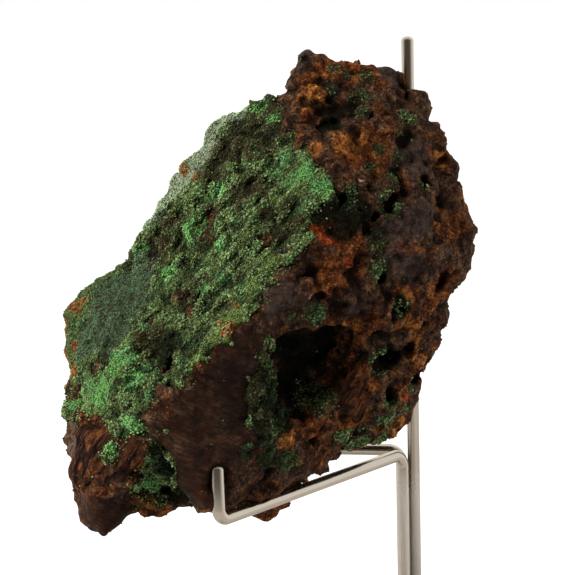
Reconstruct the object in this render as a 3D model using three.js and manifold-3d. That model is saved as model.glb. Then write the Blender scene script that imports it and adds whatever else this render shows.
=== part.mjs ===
// Conichalcite on limonite: a green mineral crust on a rough brown stone, held by a bent-rod stand.
// Millimetres, +Z up. The origin is the centre of the underside of the stand's base. The green face of
// the stone looks towards -Y, and the post of the stand is behind the stone's right end (+X, +Y).

import * as THREE from 'three';
import { ConvexHull } from 'three/addons/math/ConvexHull.js';
import { ImprovedNoise } from 'three/addons/math/ImprovedNoise.js';
import { mergeVertices } from 'three/addons/utils/BufferGeometryUtils.js';
import Module from 'manifold-3d';

const wasm = await Module();
wasm.setup();

// ---- Driving dimensions ---------------------------------------------------------------------------

const GAP = 0.3;                      // clearance between neighbouring pieces

const BASE_DIAMETER = 110;
const BASE_THICKNESS = 6;
const BASE_CHAMFER = 0.8;
const BASE_SEGMENTS = 36;

const ROD_DIAMETER = 3;
const ROD_SIDES = 10;
const ROD_DOME = 1.1;                 // height of the rounded end of a rod
const DOME_FIT = 0.98;                // the dome's share of the rod's radius
const POST_X = 30.2;
const POST_Y = 25;
const POST_TOP = 175.5;
const ARM_HEIGHT = 73.2;              // centre line of both arms above the floor
const ARM_LENGTH = 66.2;
const FRONT_ARM_ANGLE = 48.6;         // degrees from -X towards -Y
const BACK_ARM_ANGLE = -10;           // degrees from -X, so towards +Y
const LEG_ANGLE = 30;                 // each leg touches the post this far round from -X
const LEG_BEND_RADIUS = 3.4;
const TIP_BEND_RADIUS = 2.6;
const TIP_RISE = 12.8;                // top of the upturned tip above the arm's centre line
const BEND_STEPS = 3;                 // sections of a rod in each bend, and in each domed end
const DOME_STEPS = 3;

const STONE_HEIGHT = ARM_HEIGHT + 46.8;   // the stone's own origin above the floor
const EDGE_SOFTNESS = 0.9;            // how far the stone's broken edges are worn round
const BLEND = 1.2;                    // how softly neighbouring parts of the stone run together
const ROUGHNESS = [                   // wavelength and height of the stone's unevenness
  { length: 21, height: 2.2 },
  { length: 10, height: 1.5 },
  { length: 5.5, height: 0.8 },
];
const WAVE_SHIFT = 7.3;               // moves each wave of the unevenness clear of the one before
const PLATE_CENTRE = new THREE.Vector3(-17, -28, -26);   // the smooth flat plate under the ridge
const PLATE_INNER = 10;               // the plate is smooth this far out,
const PLATE_OUTER = 22;               // and as rough as the rest from here
const PLATE_CALM = 0.25;              // share of the unevenness that is left on the plate

const GRAZING_SLOPE = 0.01;           // faces that lie nearly along a direction don't limit it

const CRUST_THICKNESS = 1.1;

// ---- The stone's lumps ----------------------------------------------------------------------------
// Each lump is one or more convex hulls, given by their corner points from the stone's origin. Every hull
// of a lump holds the lump's centre, and the hulls run smoothly into one another.

const BODY = {
  centre: [0, -2, 0],
  detail: 12,
  hulls: [
    [
      // left skyline of the green face, from the top down
      [-3, 12, 41], [-10, 14, 41], [-16.5, 15, 37.5], [-25, 14, 26.5], [-32.5, 12, 15], [-36, 10, 7],
      [-40, 5, -10], [-40, 0, -22],
      // the ridge that runs down from right to left, nearest the viewer
      [10, -13, 29], [3, -25, 12.5], [-4, -29, 2.5], [-12.5, -32.5, -6.5], [-21, -33.5, -13.5],
      [-27, -33, -20],
      // the flat plate under the ridge
      [-25, -27, -43], [-16, -25.5, -45], [-10, -20, -46], [-6, -25, -20],
      // the rugged right face and its outer edge
      [14, -9, 38], [27, -5, 38], [25, -14, 15], [27, -12, -4], [20, -9, -30], [37, -7, 11], [37.5, 8, 35.5],
      [38.5, 5, 28], [41.5, 5, 20.5], [45.5, 5, 10.5], [43.5, 7, 3], [38.5, 8, -6], [30, 9, -34],
      [25, 10, -38.5], [12, 0, -41],
      // the back and the underside
      [32, 21, 34], [36, 20, 10], [31, 21, -28], [-14, 28, 30], [-30, 28, 8], [-34, 31, -24], [-30, 30, -42],
      [4, 31, -43], [22, 22, -41],
    ],
    [
      // the crest: its skyline from left to right, its front and back, and its root in the body
      [0, 10, 46], [3.5, 12, 56], [10.5, 10, 53.5], [19.5, 13, 52], [28, 15, 48.5], [34, 12, 43], [35, 6, 37],
      [3, -5, 36], [14, -10, 39], [6, 25, 45], [30, 22, 40],
      [-12, -14, 0], [20, -14, 0], [-12, 20, 0], [28, 18, 0], [4, 0, -14],
    ],
    [
      // the left shoulder: its skyline down to the ledge over the tongue, its face, and its root in the body
      [-36, 8, 4.5], [-44, 6, 2], [-50, 4, -3], [-51.5, 2, -9], [-51.5, -1, -16], [-49, -7, -21.5],
      [-42, -13, -7], [-27, -33, -20], [-32, -30.5, -24], [-42, -22, -24], [-44, 24, -8], [-45, 18, -26],
      [-30, 29, -42], [-24, -18, -45], [-34, -16, -44], [-38, -4, -43],
      [14, -18, 0], [14, 14, 6], [14, -8, -24], [14, 12, -24],
    ],
  ],
};

const TONGUE = {
  centre: [-42, -13, -36],
  detail: 4,
  hulls: [[
    [-28, -31, -25], [-36, -29, -25], [-51, -13, -24], [-48, -20, -23.5], [-36, -27.5, -40],
    [-46, -25, -34], [-52.5, -10, -34], [-50.5, -13, -44], [-48, -17, -49], [-44.5, -20, -53],
    [-41.5, -20, -53], [-38.5, -20, -48], [-48, 6, -26], [-44, 8, -42], [-34, 0, -44], [-34, -10, -46],
  ]],
};

const RIM = {
  centre: [-29, -15, -43],
  detail: 2,
  hulls: [[
    [-39, -17, -45], [-38, -17, -48.5], [-32, -20, -49.5], [-25, -24, -47.5], [-20, -25, -48.5],
    [-18, -24, -44], [-33, -21, -44.5], [-36, -6, -40], [-18, -8, -38], [-20, -8, -47],
  ]],
};

const KNOB = {
  centre: [-6, -6, -47],
  detail: 2,
  hulls: [[
    [-13, -10, -50.5], [-8, -9, -55.5], [-3.5, -7, -55], [0.5, -5, -51], [3, -4, -42], [-14, -2, -42],
    [-5, 3, -50], [-7, -13, -42], [2, 4, -42],
  ]],
};

const FOOT = {
  centre: [3, -5, -40],
  detail: 2,
  hulls: [[
    [-10, -19, -38], [-6, -15, -45], [4, -8, -45.5], [9.5, -2, -46], [11, -1, -40], [6, -16, -34],
    [0, 6, -40], [12, 8, -36],
  ]],
};

const LUMPS = [BODY, TONGUE, RIM, KNOB, FOOT];

// ---- Hollows in the stone ---------------------------------------------------------------------------

const CAVITY = {
  centre: [3, -19, -16],
  detail: 3,
  hulls: [[
    [-7, -38, -4], [11, -36, -3], [13, -34, -22], [7, -34, -31], [-3, -36, -33], [-9, -38, -20],
    [-1, -8, -7], [13, -3, -6], [15, -3, -15], [6, -6, -24], [-3, -10, -26], [-4, -12, -12],
  ]],
};

const GAP_NOTCH = {
  centre: [-29, -28, -38],
  detail: 2,
  hulls: [[
    [-26, -40, -21.5], [-38, -36, -45.5], [-22.5, -40, -45.5], [-26.5, -31, -22.5], [-36, -20.5, -43.5],
    [-24.5, -20.5, -44], [-27, -22, -30],
  ]],
};

const SIDE_SCOOP = {
  centre: [39, 2, -20],
  detail: 2,
  hulls: [[
    [36, 4, -12], [34, 4, -20], [33.5, 4, -28], [46, -6, -12], [46, -6, -28], [46, 14, -12], [46, 14, -28],
    [38, -10, -20],
  ]],
};

const HOLLOWS = [CAVITY, GAP_NOTCH, SIDE_SCOOP];

// ---- Where the green crust has grown: each region is an outline in X and Z with a front and a back -----

const FACE_CRUST_REGION = {
  front: -45,
  back: 15,
  outline: [
    [-3, 50], [-22, 46], [-42, 24], [-60, 4], [-60, -23], [-48, -21.5], [-38, -25], [-29, -27], [-20, -13],
    [-12, -6], [-3, 3.5], [4, 13.5], [10.5, 22], [8, 29], [1, 33], [-2.5, 38],
  ],
};

const GAP_CRUST_REGION = {
  front: -36,
  back: -14,
  outline: [[-26.5, -25], [-36, -42], [-24.5, -43]],
};

const CAVITY_CRUST_REGION = {
  front: -34,
  back: -14,
  outline: [[-9, -9], [-4.5, -7], [-2, -24], [-5, -34], [-9.5, -32]],
};

const EDGE_CRUST_REGION = {
  front: -30,
  back: 3,
  outline: [[12, -33], [24, -30], [31, -32], [29, -37.5], [14, -39]],
};

// ---- Helpers ------------------------------------------------------------------------------------------

const noise = new ImprovedNoise();

/** A closed three.js geometry as a solid that can be joined and cut. */
function toSolid(geometry) {
  geometry.deleteAttribute('normal');
  geometry.deleteAttribute('uv');
  const merged = mergeVertices(geometry, 1e-4);
  const mesh = new wasm.Mesh({
    numProp: 3,
    vertProperties: new Float32Array(merged.attributes.position.array),
    triVerts: new Uint32Array(merged.index.array),
  });
  return new wasm.Manifold(mesh);
}

/** A solid's surface as a three.js geometry. */
function toGeometry(solid) {
  const { vertProperties, triVerts } = solid.getMesh();
  const geometry = new THREE.BufferGeometry();
  geometry.setAttribute('position', new THREE.BufferAttribute(new Float32Array(vertProperties), 3));
  geometry.setIndex(new THREE.BufferAttribute(new Uint32Array(triVerts), 1));
  geometry.computeVertexNormals();
  return geometry;
}

/** Several solids joined into one. */
function joinAll(solids) {
  return solids.reduce((joined, solid) => joined.add(solid));
}

/** How far the stone's rough surface stands out from its flat faces at a point. */
function unevenness(point) {
  let height = 0;
  ROUGHNESS.forEach((wave, index) => {
    const shift = WAVE_SHIFT * index;
    const x = point.x / wave.length + shift;
    const y = point.y / wave.length + shift;
    const z = point.z / wave.length - shift;
    height += wave.height * noise.noise(x, y, z);
  });
  const roughShare = THREE.MathUtils.smoothstep(point.distanceTo(PLATE_CENTRE), PLATE_INNER, PLATE_OUTER);
  return height * THREE.MathUtils.lerp(PLATE_CALM, 1, roughShare);
}

/** The flat faces of a convex hull, each as an outward normal and its distance from a centre. */
function facesOf(corners, centre) {
  const points = corners.map((corner) => new THREE.Vector3(...corner).sub(centre));
  const hull = new ConvexHull().setFromPoints(points);
  return hull.faces.map((face) => ({ normal: face.normal.clone(), distance: face.constant }));
}

/** Distance from the centre to a hull's surface along a direction, with the edges worn round. */
function reachOfHull(direction, faces, grow) {
  let sum = 0;
  for (const face of faces) {
    const slope = face.normal.dot(direction);
    if (slope > GRAZING_SLOPE) sum += Math.exp(-(face.distance + grow) / slope / EDGE_SOFTNESS);
  }
  return -EDGE_SOFTNESS * Math.log(sum);
}

/** Distance from the centre to the surface of several hulls that run smoothly into one another. */
function reachOfLump(direction, hulls, grow) {
  const reaches = hulls.map((faces) => reachOfHull(direction, faces, grow));
  const furthest = Math.max(...reaches);
  const sum = reaches.reduce((total, reach) => total + Math.exp((reach - furthest) / BLEND), 0);
  return furthest + BLEND * Math.log(sum);
}

/** A rough lump: a sphere pulled out to the faces of its hulls. Growing it moves every face out. */
function lump({ centre, detail, hulls }, grow = 0) {
  const middle = new THREE.Vector3(...centre);
  const faceLists = hulls.map((corners) => facesOf(corners, middle));
  const geometry = new THREE.IcosahedronGeometry(1, detail);
  const position = geometry.attributes.position;
  const direction = new THREE.Vector3();
  const surface = new THREE.Vector3();
  for (let i = 0; i < position.count; i += 1) {
    direction.fromBufferAttribute(position, i).normalize();
    surface.copy(direction).multiplyScalar(reachOfLump(direction, faceLists, 0)).add(middle);
    const reach = reachOfLump(direction, faceLists, grow) + unevenness(surface);
    direction.multiplyScalar(reach).add(middle);
    position.setXYZ(i, direction.x, direction.y, direction.z);
  }
  return toSolid(geometry);
}

/** The whole stone, with its surface moved out by an amount. */
function stone(grow = 0) {
  const lumps = joinAll(LUMPS.map((one) => lump(one, grow)));
  const hollows = joinAll(HOLLOWS.map((hollow) => lump(hollow, -grow)));
  return lumps.subtract(hollows);
}

/** A prism along Y over an outline given in X and Z. */
function prism({ outline, front, back }) {
  const shape = new THREE.Shape(outline.map(([x, z]) => new THREE.Vector2(x, z)));
  const geometry = new THREE.ExtrudeGeometry(shape, { depth: back - front, bevelEnabled: false });
  geometry.rotateX(Math.PI / 2);
  geometry.translate(0, back, 0);
  return toSolid(geometry);
}

/** A rod's centre line: straight runs between corners, with a round bend at each inner corner. */
class BentLine extends THREE.Curve {
  constructor(corners, bendRadii) {
    super();
    this.runs = [];
    const addRun = (steps, curve) => this.runs.push({ steps, curve });
    let start = corners[0];
    for (let i = 1; i < corners.length - 1; i += 1) {
      const before = corners[i].clone().sub(corners[i - 1]).normalize();
      const after = corners[i + 1].clone().sub(corners[i]).normalize();
      const setback = bendRadii[i - 1] * Math.tan(before.angleTo(after) / 2);
      const bendStart = corners[i].clone().addScaledVector(before, -setback);
      const bendEnd = corners[i].clone().addScaledVector(after, setback);
      addRun(1, new THREE.LineCurve3(start, bendStart));
      addRun(BEND_STEPS, new THREE.QuadraticBezierCurve3(bendStart, corners[i], bendEnd));
      start = bendEnd;
    }
    addRun(1, new THREE.LineCurve3(start, corners[corners.length - 1]));
    this.steps = this.runs.reduce((total, run) => total + run.steps, 0);
  }

  getPoint(t, target = new THREE.Vector3()) {
    let step = t * this.steps;
    for (const run of this.runs) {
      if (step <= run.steps) return run.curve.getPoint(step / run.steps, target);
      step -= run.steps;
    }
    return this.runs[this.runs.length - 1].curve.getPoint(1, target);
  }

  // The sections of the tube fall on the bends and on the ends of the straight runs.
  getUtoTmapping(u) {
    return u;
  }
}

/** A round rod along a bent line, with a domed end, as a solid. */
function bentRod(corners, bendRadii, radius) {
  const line = new BentLine(corners, bendRadii);
  const section = new THREE.Shape().absarc(0, 0, radius, 0, 2 * Math.PI, false);
  const tube = new THREE.ExtrudeGeometry(section, {
    curveSegments: ROD_SIDES,
    steps: line.steps,
    extrudePath: line,
  });
  const dome = new THREE.SphereGeometry(radius * DOME_FIT, ROD_SIDES, 2 * DOME_STEPS);
  dome.rotateX(Math.PI / 2);
  dome.scale(1, 1, ROD_DOME / radius);
  const end = corners[corners.length - 1];
  dome.translate(end.x, end.y, end.z);
  return toSolid(tube).add(toSolid(dome));
}

// ---- The stand's rods ------------------------------------------------------------------------------------

/** A point a distance away from another on the level, at an angle from -X towards -Y. */
function stepLevel(from, angle, distance) {
  const radians = THREE.MathUtils.degToRad(angle);
  return new THREE.Vector3(
    from.x - distance * Math.cos(radians),
    from.y - distance * Math.sin(radians),
    from.z,
  );
}

/** The corners of one arm's rod: foot, top of the leg, outer end of the arm, end of the tip. */
function armCorners(legAngle, armAngle) {
  const post = new THREE.Vector3(POST_X, POST_Y, ARM_HEIGHT);
  const elbow = stepLevel(post, legAngle, ROD_DIAMETER + GAP);
  const outer = stepLevel(elbow, armAngle, ARM_LENGTH);
  const foot = new THREE.Vector3(elbow.x, elbow.y, BASE_THICKNESS + GAP);
  const tip = new THREE.Vector3(outer.x, outer.y, ARM_HEIGHT + TIP_RISE - ROD_DOME);
  return [foot, elbow, outer, tip];
}

function armRod(legAngle, armAngle, radius = ROD_DIAMETER / 2) {
  return bentRod(armCorners(legAngle, armAngle), [LEG_BEND_RADIUS, TIP_BEND_RADIUS], radius);
}

function postRod(radius = ROD_DIAMETER / 2) {
  const foot = BASE_THICKNESS + GAP;
  const profile = [new THREE.Vector2(0, foot), new THREE.Vector2(radius, foot)];
  for (let i = 0; i < DOME_STEPS; i += 1) {
    const angle = (i / DOME_STEPS) * Math.PI / 2;
    profile.push(new THREE.Vector2(radius * Math.cos(angle), POST_TOP - ROD_DOME * (1 - Math.sin(angle))));
  }
  profile.push(new THREE.Vector2(0, POST_TOP));
  const geometry = new THREE.LatheGeometry(profile, ROD_SIDES);
  geometry.rotateX(Math.PI / 2);
  geometry.translate(POST_X, POST_Y, 0);
  return toSolid(geometry);
}

/** The space that the rods need, as seen from the stone's origin. */
function rodClearance() {
  const radius = ROD_DIAMETER / 2 + GAP;
  const frontArm = armRod(LEG_ANGLE, FRONT_ARM_ANGLE, radius);
  const backArm = armRod(-LEG_ANGLE, BACK_ARM_ANGLE, radius);
  return joinAll([postRod(radius), frontArm, backArm]).translate([0, 0, -STONE_HEIGHT]);
}

function baseGeometry() {
  const radius = BASE_DIAMETER / 2;
  const profile = [
    [0, 0], [radius - BASE_CHAMFER, 0], [radius, BASE_CHAMFER],
    [radius, BASE_THICKNESS - BASE_CHAMFER], [radius - BASE_CHAMFER, BASE_THICKNESS], [0, BASE_THICKNESS],
  ];
  const geometry = new THREE.LatheGeometry(profile.map(([r, z]) => new THREE.Vector2(r, z)), BASE_SEGMENTS);
  geometry.rotateX(Math.PI / 2);
  return toGeometry(toSolid(geometry));
}

// ---- Materials -------------------------------------------------------------------------------------

const limonite = new THREE.MeshStandardMaterial({ color: 0x4a2c1a, roughness: 0.85, metalness: 0 });
const conichalcite = new THREE.MeshStandardMaterial({ color: 0x44704a, roughness: 0.8, metalness: 0 });
const steel = new THREE.MeshStandardMaterial({ color: 0xb9b2a8, roughness: 0.35, metalness: 1 });

// ---- The object ------------------------------------------------------------------------------------

const object = new THREE.Group();

function place(name, geometry, material, height = 0) {
  const mesh = new THREE.Mesh(geometry, material);
  mesh.name = name;
  mesh.position.z = height;
  object.add(mesh);
}

const clearance = rodClearance();
place('limonite_matrix', toGeometry(stone().subtract(clearance)), limonite, STONE_HEIGHT);

const crustShell = stone(GAP + CRUST_THICKNESS).subtract(stone(GAP)).subtract(clearance);
const crustRegions = {
  conichalcite_face_crust: FACE_CRUST_REGION,
  conichalcite_gap_crust: GAP_CRUST_REGION,
  conichalcite_cavity_crust: CAVITY_CRUST_REGION,
  conichalcite_edge_crust: EDGE_CRUST_REGION,
};
for (const [name, region] of Object.entries(crustRegions)) {
  place(name, toGeometry(crustShell.intersect(prism(region))), conichalcite, STONE_HEIGHT);
}

place('stand_post', toGeometry(postRod()), steel);
place('stand_front_arm', toGeometry(armRod(LEG_ANGLE, FRONT_ARM_ANGLE)), steel);
place('stand_back_arm', toGeometry(armRod(-LEG_ANGLE, BACK_ARM_ANGLE)), steel);
place('stand_base', baseGeometry(), steel);

export default object;
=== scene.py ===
"""Looks of a conichalcite on limonite specimen and its bent-rod stand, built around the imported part.

The stone and its crusts are shaped as signed distance fields on one lattice, negative inside, and turned into
meshes. Lengths are in millimetres, and places on the stone are measured from the stone's own origin.
"""

import math

import bpy
import numpy as np
import openvdb
from mathutils import Matrix, Vector


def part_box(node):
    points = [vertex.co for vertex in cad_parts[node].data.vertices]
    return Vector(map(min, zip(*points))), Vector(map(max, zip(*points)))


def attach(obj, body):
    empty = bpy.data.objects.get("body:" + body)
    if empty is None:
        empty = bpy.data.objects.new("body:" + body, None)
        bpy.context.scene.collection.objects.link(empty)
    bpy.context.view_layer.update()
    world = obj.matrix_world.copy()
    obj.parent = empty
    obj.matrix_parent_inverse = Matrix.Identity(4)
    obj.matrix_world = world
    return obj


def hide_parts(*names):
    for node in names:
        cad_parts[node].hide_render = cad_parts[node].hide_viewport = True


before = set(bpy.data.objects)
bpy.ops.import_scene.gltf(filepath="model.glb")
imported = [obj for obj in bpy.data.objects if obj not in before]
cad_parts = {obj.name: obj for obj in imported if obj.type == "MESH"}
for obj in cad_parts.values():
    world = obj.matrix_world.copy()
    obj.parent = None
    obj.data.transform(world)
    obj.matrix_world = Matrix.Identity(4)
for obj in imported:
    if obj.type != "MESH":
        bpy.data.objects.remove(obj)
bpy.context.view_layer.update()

# ---- Driving values ----

MM = 0.001
TIP_RISE = 12.8                # top of an arm's upturned tip above the arm's centre line
STONE_ABOVE_ARM = 46.8         # the stone's own origin above the arms' centre line
ARM_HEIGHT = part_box("stand_front_arm")[1].z / MM - TIP_RISE
STONE_ORIGIN = np.array([0, 0, ARM_HEIGHT + STONE_ABOVE_ARM])

VOXEL = 0.5                    # lattice step
BAND = 6.0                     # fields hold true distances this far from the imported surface
MARGIN = 5.0                   # room that the lattice leaves round the stone
STONE_TRIANGLES = 190000
FEWEST_STONE_FACES = 400       # loose bits with fewer faces are left out
FEWEST_CRUST_FACES = 60


# ---- Noise ----

def spline_weights(count, length):
    """How far each control point, one every length, counts at each of count lattice steps."""
    place = np.arange(count) * VOXEL / length
    first = np.floor(place).astype(int)
    t = place - first
    shares = [(1 - t) ** 3, 3 * t**3 - 6 * t**2 + 4, 3 * t + 3 * t**2 - 3 * t**3 + 1, t**3]
    weights = np.zeros((count, first.max() + 4), np.float32)
    for step, share in enumerate(shares):
        weights[np.arange(count), first + step] = share / 6
    return weights


def cloud(shape, length, seed, stretch=(1, 1, 1)):
    """Smooth noise over a whole lattice, mostly between -2 and 2, with lumps of about that length."""
    weights = [spline_weights(n, length * s) for n, s in zip(shape, stretch)]
    draws = np.random.default_rng(seed).normal(size=[w.shape[1] for w in weights])
    field = draws.astype(np.float32) / 0.33
    for axis, weight in enumerate(weights):
        field = np.moveaxis(np.tensordot(weight, field, (1, axis)), 0, axis)
    return field


CELLS = 256                    # the noises repeat after this many cells


def cell_index(order, cell):
    """A repeatable number for each cell, from its place in the grid."""
    index = 0
    for axis in range(3):
        index = order[(index + cell[:, axis]) % CELLS]
    return index


def corner_weight(share, corner):
    """How much one corner of a cell counts at places that lie share of the way across the cell."""
    weight = np.ones(len(share), np.float32)
    for axis, step in enumerate(corner):
        weight *= share[:, axis] if step else 1 - share[:, axis]
    return weight


class Noise:
    """Smooth gradient noise at points, about -1 to 1."""

    def __init__(self, seed):
        draws = np.random.default_rng(seed)
        self.order = draws.permutation(CELLS).astype(np.int32)
        slopes = draws.normal(size=(CELLS, 3)).astype(np.float32)
        self.slopes = slopes / np.linalg.norm(slopes, axis=1, keepdims=True)

    def __call__(self, points, length):
        scaled = points / np.float32(length)
        cell = np.floor(scaled).astype(np.int32)
        local = (scaled - cell).astype(np.float32)
        fade = local * local * local * (local * (local * 6 - 15) + 10)
        total = np.zeros(len(points), np.float32)
        for corner in np.ndindex(2, 2, 2):
            index = cell_index(self.order, cell + np.array(corner, np.int32))
            rise = np.zeros(len(points), np.float32)
            for axis, step in enumerate(corner):
                rise += self.slopes[index, axis] * (local[:, axis] - step)
            total += corner_weight(fade, corner) * rise
        return total * 1.6


class Facets:
    """Noise like broken rock: flats at random heights and tilts that meet in small steps."""

    def __init__(self, seed):
        draws = np.random.default_rng(seed)
        self.order = draws.permutation(CELLS).astype(np.int32)
        self.centres = draws.uniform(0.1, 0.9, (CELLS, 3)).astype(np.float32)
        self.tilts = draws.normal(size=(CELLS, 3)).astype(np.float32)
        self.heights = draws.normal(size=CELLS).astype(np.float32)

    def __call__(self, points, size):
        scaled = points / np.float32(size)
        first = np.floor(scaled - 0.5).astype(np.int32)
        nearest = np.full(len(points), 9.0, np.float32)
        result = np.zeros(len(points), np.float32)
        for step in np.ndindex(2, 2, 2):
            cell = first + np.array(step, np.int32)
            index = cell_index(self.order, cell)
            away = scaled - cell - self.centres[index]
            gap = np.einsum("ij,ij->i", away, away)
            closer = gap < nearest
            nearest[closer] = gap[closer]
            tilt = np.einsum("ij,ij->i", away[closer], self.tilts[index[closer]])
            result[closer] = self.heights[index[closer]] + tilt
        return result


def smoothstep(value, low, high):
    """0 at low, 1 at high and smooth in between."""
    share = np.clip((value - low) / (high - low), 0, 1)
    return share * share * (3 - 2 * share)


# ---- Distance fields ----

def node_triangles(name):
    """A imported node's corners, from the stone's origin, and its triangles."""
    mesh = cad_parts[name].data
    mesh.calc_loop_triangles()
    corners = np.empty(len(mesh.vertices) * 3, np.float32)
    mesh.vertices.foreach_get("co", corners)
    triangles = np.empty(len(mesh.loop_triangles) * 3, np.int32)
    mesh.loop_triangles.foreach_get("vertices", triangles)
    corners = corners.reshape(-1, 3) / MM - STONE_ORIGIN
    welded, place = np.unique(np.round(corners, 4), axis=0, return_inverse=True)
    return welded.astype(np.float32), place.reshape(-1)[triangles].reshape(-1, 3).astype(np.uint32)


class Lattice:
    """A block of lattice points round the stone."""

    def __init__(self, low, high):
        self.low = np.floor(np.array(low) / VOXEL).astype(int)
        self.shape = tuple(np.ceil(np.array(high) / VOXEL).astype(int) - self.low + 1)
        self.corner = tuple(int(i) for i in self.low)
        self.transform = openvdb.createLinearTransform(voxelSize=VOXEL)

    def distance_to(self, name):
        """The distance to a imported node, negative inside it."""
        corners, triangles = node_triangles(name)
        grid = openvdb.FloatGrid.createLevelSetFromPolygons(
            corners, triangles=triangles, transform=self.transform, halfWidth=BAND / VOXEL
        )
        field = np.full(self.shape, BAND, np.float32)
        grid.copyToArray(field, ijk=self.corner)
        return field

    def axes(self):
        """The x, y and z of the lattice points, shaped so that they spread over the lattice."""
        steps = [(np.arange(n) + a) * np.float32(VOXEL) for n, a in zip(self.shape, self.low)]
        return np.meshgrid(*steps, indexing="ij", sparse=True)

    def points(self, where):
        """The positions of the lattice points that are marked in where."""
        spread = [np.broadcast_to(axis, self.shape)[where] for axis in self.axes()]
        return np.stack(spread, -1).astype(np.float32)

    def window(self, low, high):
        """The part of the lattice between two corners, and the positions of its points."""
        first = np.clip(np.floor(np.array(low) / VOXEL).astype(int) - self.low, 0, None)
        last = np.minimum(np.ceil(np.array(high) / VOXEL).astype(int) - self.low + 1, self.shape)
        part = tuple(slice(a, b) for a, b in zip(first, last))
        steps = [(np.arange(a, b) + start) * VOXEL for a, b, start in zip(first, last, self.low)]
        return part, np.stack(np.meshgrid(*steps, indexing="ij"), -1).astype(np.float32)

    def sample(self, field, points):
        """A field's values at any points, by straight-line mixing between lattice points."""
        place = points / VOXEL - self.low
        cell = np.clip(np.floor(place).astype(int), 0, np.array(self.shape) - 2)
        share = (place - cell).astype(np.float32)
        total = np.zeros(len(points), np.float32)
        for corner in np.ndindex(2, 2, 2):
            total += corner_weight(share, corner) * field[tuple((cell + corner).T)]
        return total

    def surface(self, field):
        """The zero surface of a field, as corners and four-sided faces that point out."""
        grid = openvdb.FloatGrid(BAND)
        grid.gridClass = openvdb.GridClass.LEVEL_SET
        grid.transform = self.transform
        grid.copyFromArray(np.ascontiguousarray(field), ijk=self.corner, tolerance=0.0)
        corners, _, quads = grid.convertToPolygons(isovalue=0.0, adaptivity=0.0)
        return np.array(corners), np.array(quads).astype(np.int64)[:, ::-1]


def soften(field, passes):
    """Rounds a field off, a little more with each pass."""
    for _ in range(passes):
        for axis in range(3):
            field = np.moveaxis(field, axis, 0)
            mixed = field * 2
            mixed[1:] += field[:-1]
            mixed[:-1] += field[1:]
            mixed[0] += field[0]
            mixed[-1] += field[-1]
            field = np.moveaxis(mixed / 4, 0, axis)
    return field


def hollow_out(lattice, field, warp, start, end, radius, end_radius=None):
    """Cuts a rough-walled hollow that tapers along the line from start to end."""
    far_radius = radius if end_radius is None else end_radius
    start, end = np.array(start, np.float32), np.array(end, np.float32)
    reach = max(radius, far_radius) + 2
    part, points = lattice.window(np.minimum(start, end) - reach, np.maximum(start, end) + reach)
    run = end - start
    share = np.clip((points - start) @ run / max(float(run @ run), 1e-6), 0, 1)
    away = np.linalg.norm(points - start - share[..., None] * run, axis=-1)
    away -= radius + share * (far_radius - radius)
    away += warp[part] * min(radius * 0.7, 1.2)
    field[part] = np.maximum(field[part], -away)


def patch(points, spots, wobble=0):
    """1 at the heart of each spot (x, y, z, radius) and 0 outside it, with a soft edge moved by wobble."""
    total = np.zeros(points[0].shape if isinstance(points, list) else len(points), np.float32)
    for x, y, z, radius in spots:
        if isinstance(points, list):
            away = np.sqrt((points[0] - x) ** 2 + (points[1] - y) ** 2 + (points[2] - z) ** 2)
        else:
            away = np.linalg.norm(points - np.array([x, y, z], np.float32), axis=1)
        total = np.maximum(total, smoothstep(away / radius + wobble, 1.3, 0.5))
    return total


# ---- The stone's shape ----

CALM = [                       # smooth parts: the flat plate, the tongue's foot, the polished outer face
    (-17, -28, -30, 14), (-12, -28, -14, 7), (-10, -29, -8, 4.5), (-43, -20, -46, 8), (30, -8, 27, 3),
    (30, -10, 14, 4), (34, -6, 8, 3), (0, -26, 3, 4),
]
VUGS = [                       # x, y, z of the mouth, radius, and how far it runs back
    (4.4, 0, 42.3, 1, 3), (8.2, -2.2, 41.9, 0.9, 3), (10.4, -2.4, 42.6, 0.8, 3), (8.8, -3.8, 40.1, 1, 4),
    (10.8, -4.5, 40.1, 0.9, 4), (9.4, -6, 37.9, 1, 4), (11.4, -6.9, 38, 0.9, 4), (8, -6, 36.8, 0.7, 3),
    (12.4, -3.9, 41, 0.8, 3), (20, -3.4, 39.3, 1.3, 3), (16, -5, 39.5, 0.7, 3), (13.6, -9.6, 35.5, 0.8, 2),
    (28.5, 1, 38.4, 1.3, 3), (28.4, -3.4, 34.6, 1.4, 4), (25, -9.8, 27, 1, 4), (24.2, -9.8, 25, 0.9, 4),
    (31.1, -6.9, 24.6, 0.8, 4), (31, -7, 22.8, 0.8, 4), (23.6, -12, 21.6, 0.9, 4), (22.6, -13, 18.6, 0.8, 4),
    (12, -17, 21, 1.6, 4), (15.4, -16, 19.8, 1.2, 4), (19.4, -14.8, 17.4, 0.9, 4),
    (22.2, -13.2, 20.4, 0.8, 3), (20, -15.6, 7.6, 1.4, 4), (20.8, -15.4, 4.6, 1.5, 4),
    (12.4, -21, -0.4, 0.8, 3), (25, -12.3, -1, 1.2, 5), (24.8, -12.3, -3.6, 1.2, 5),
    (24.4, -12.2, -5.6, 0.9, 4), (31.4, -3.2, -9.4, 0.9, 4), (30.6, -3.4, -11, 0.8, 3),
    (27.6, -4.8, -14.4, 1.1, 4), (21.5, -10.4, -16.2, 2.2, 6), (28.8, 2, -23.8, 1.5, 5),
    (22.8, -6.8, -25.6, 1, 4), (17.4, -12, -22, 0.8, 3), (34, -2, 0, 0.7, 3),
]
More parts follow.
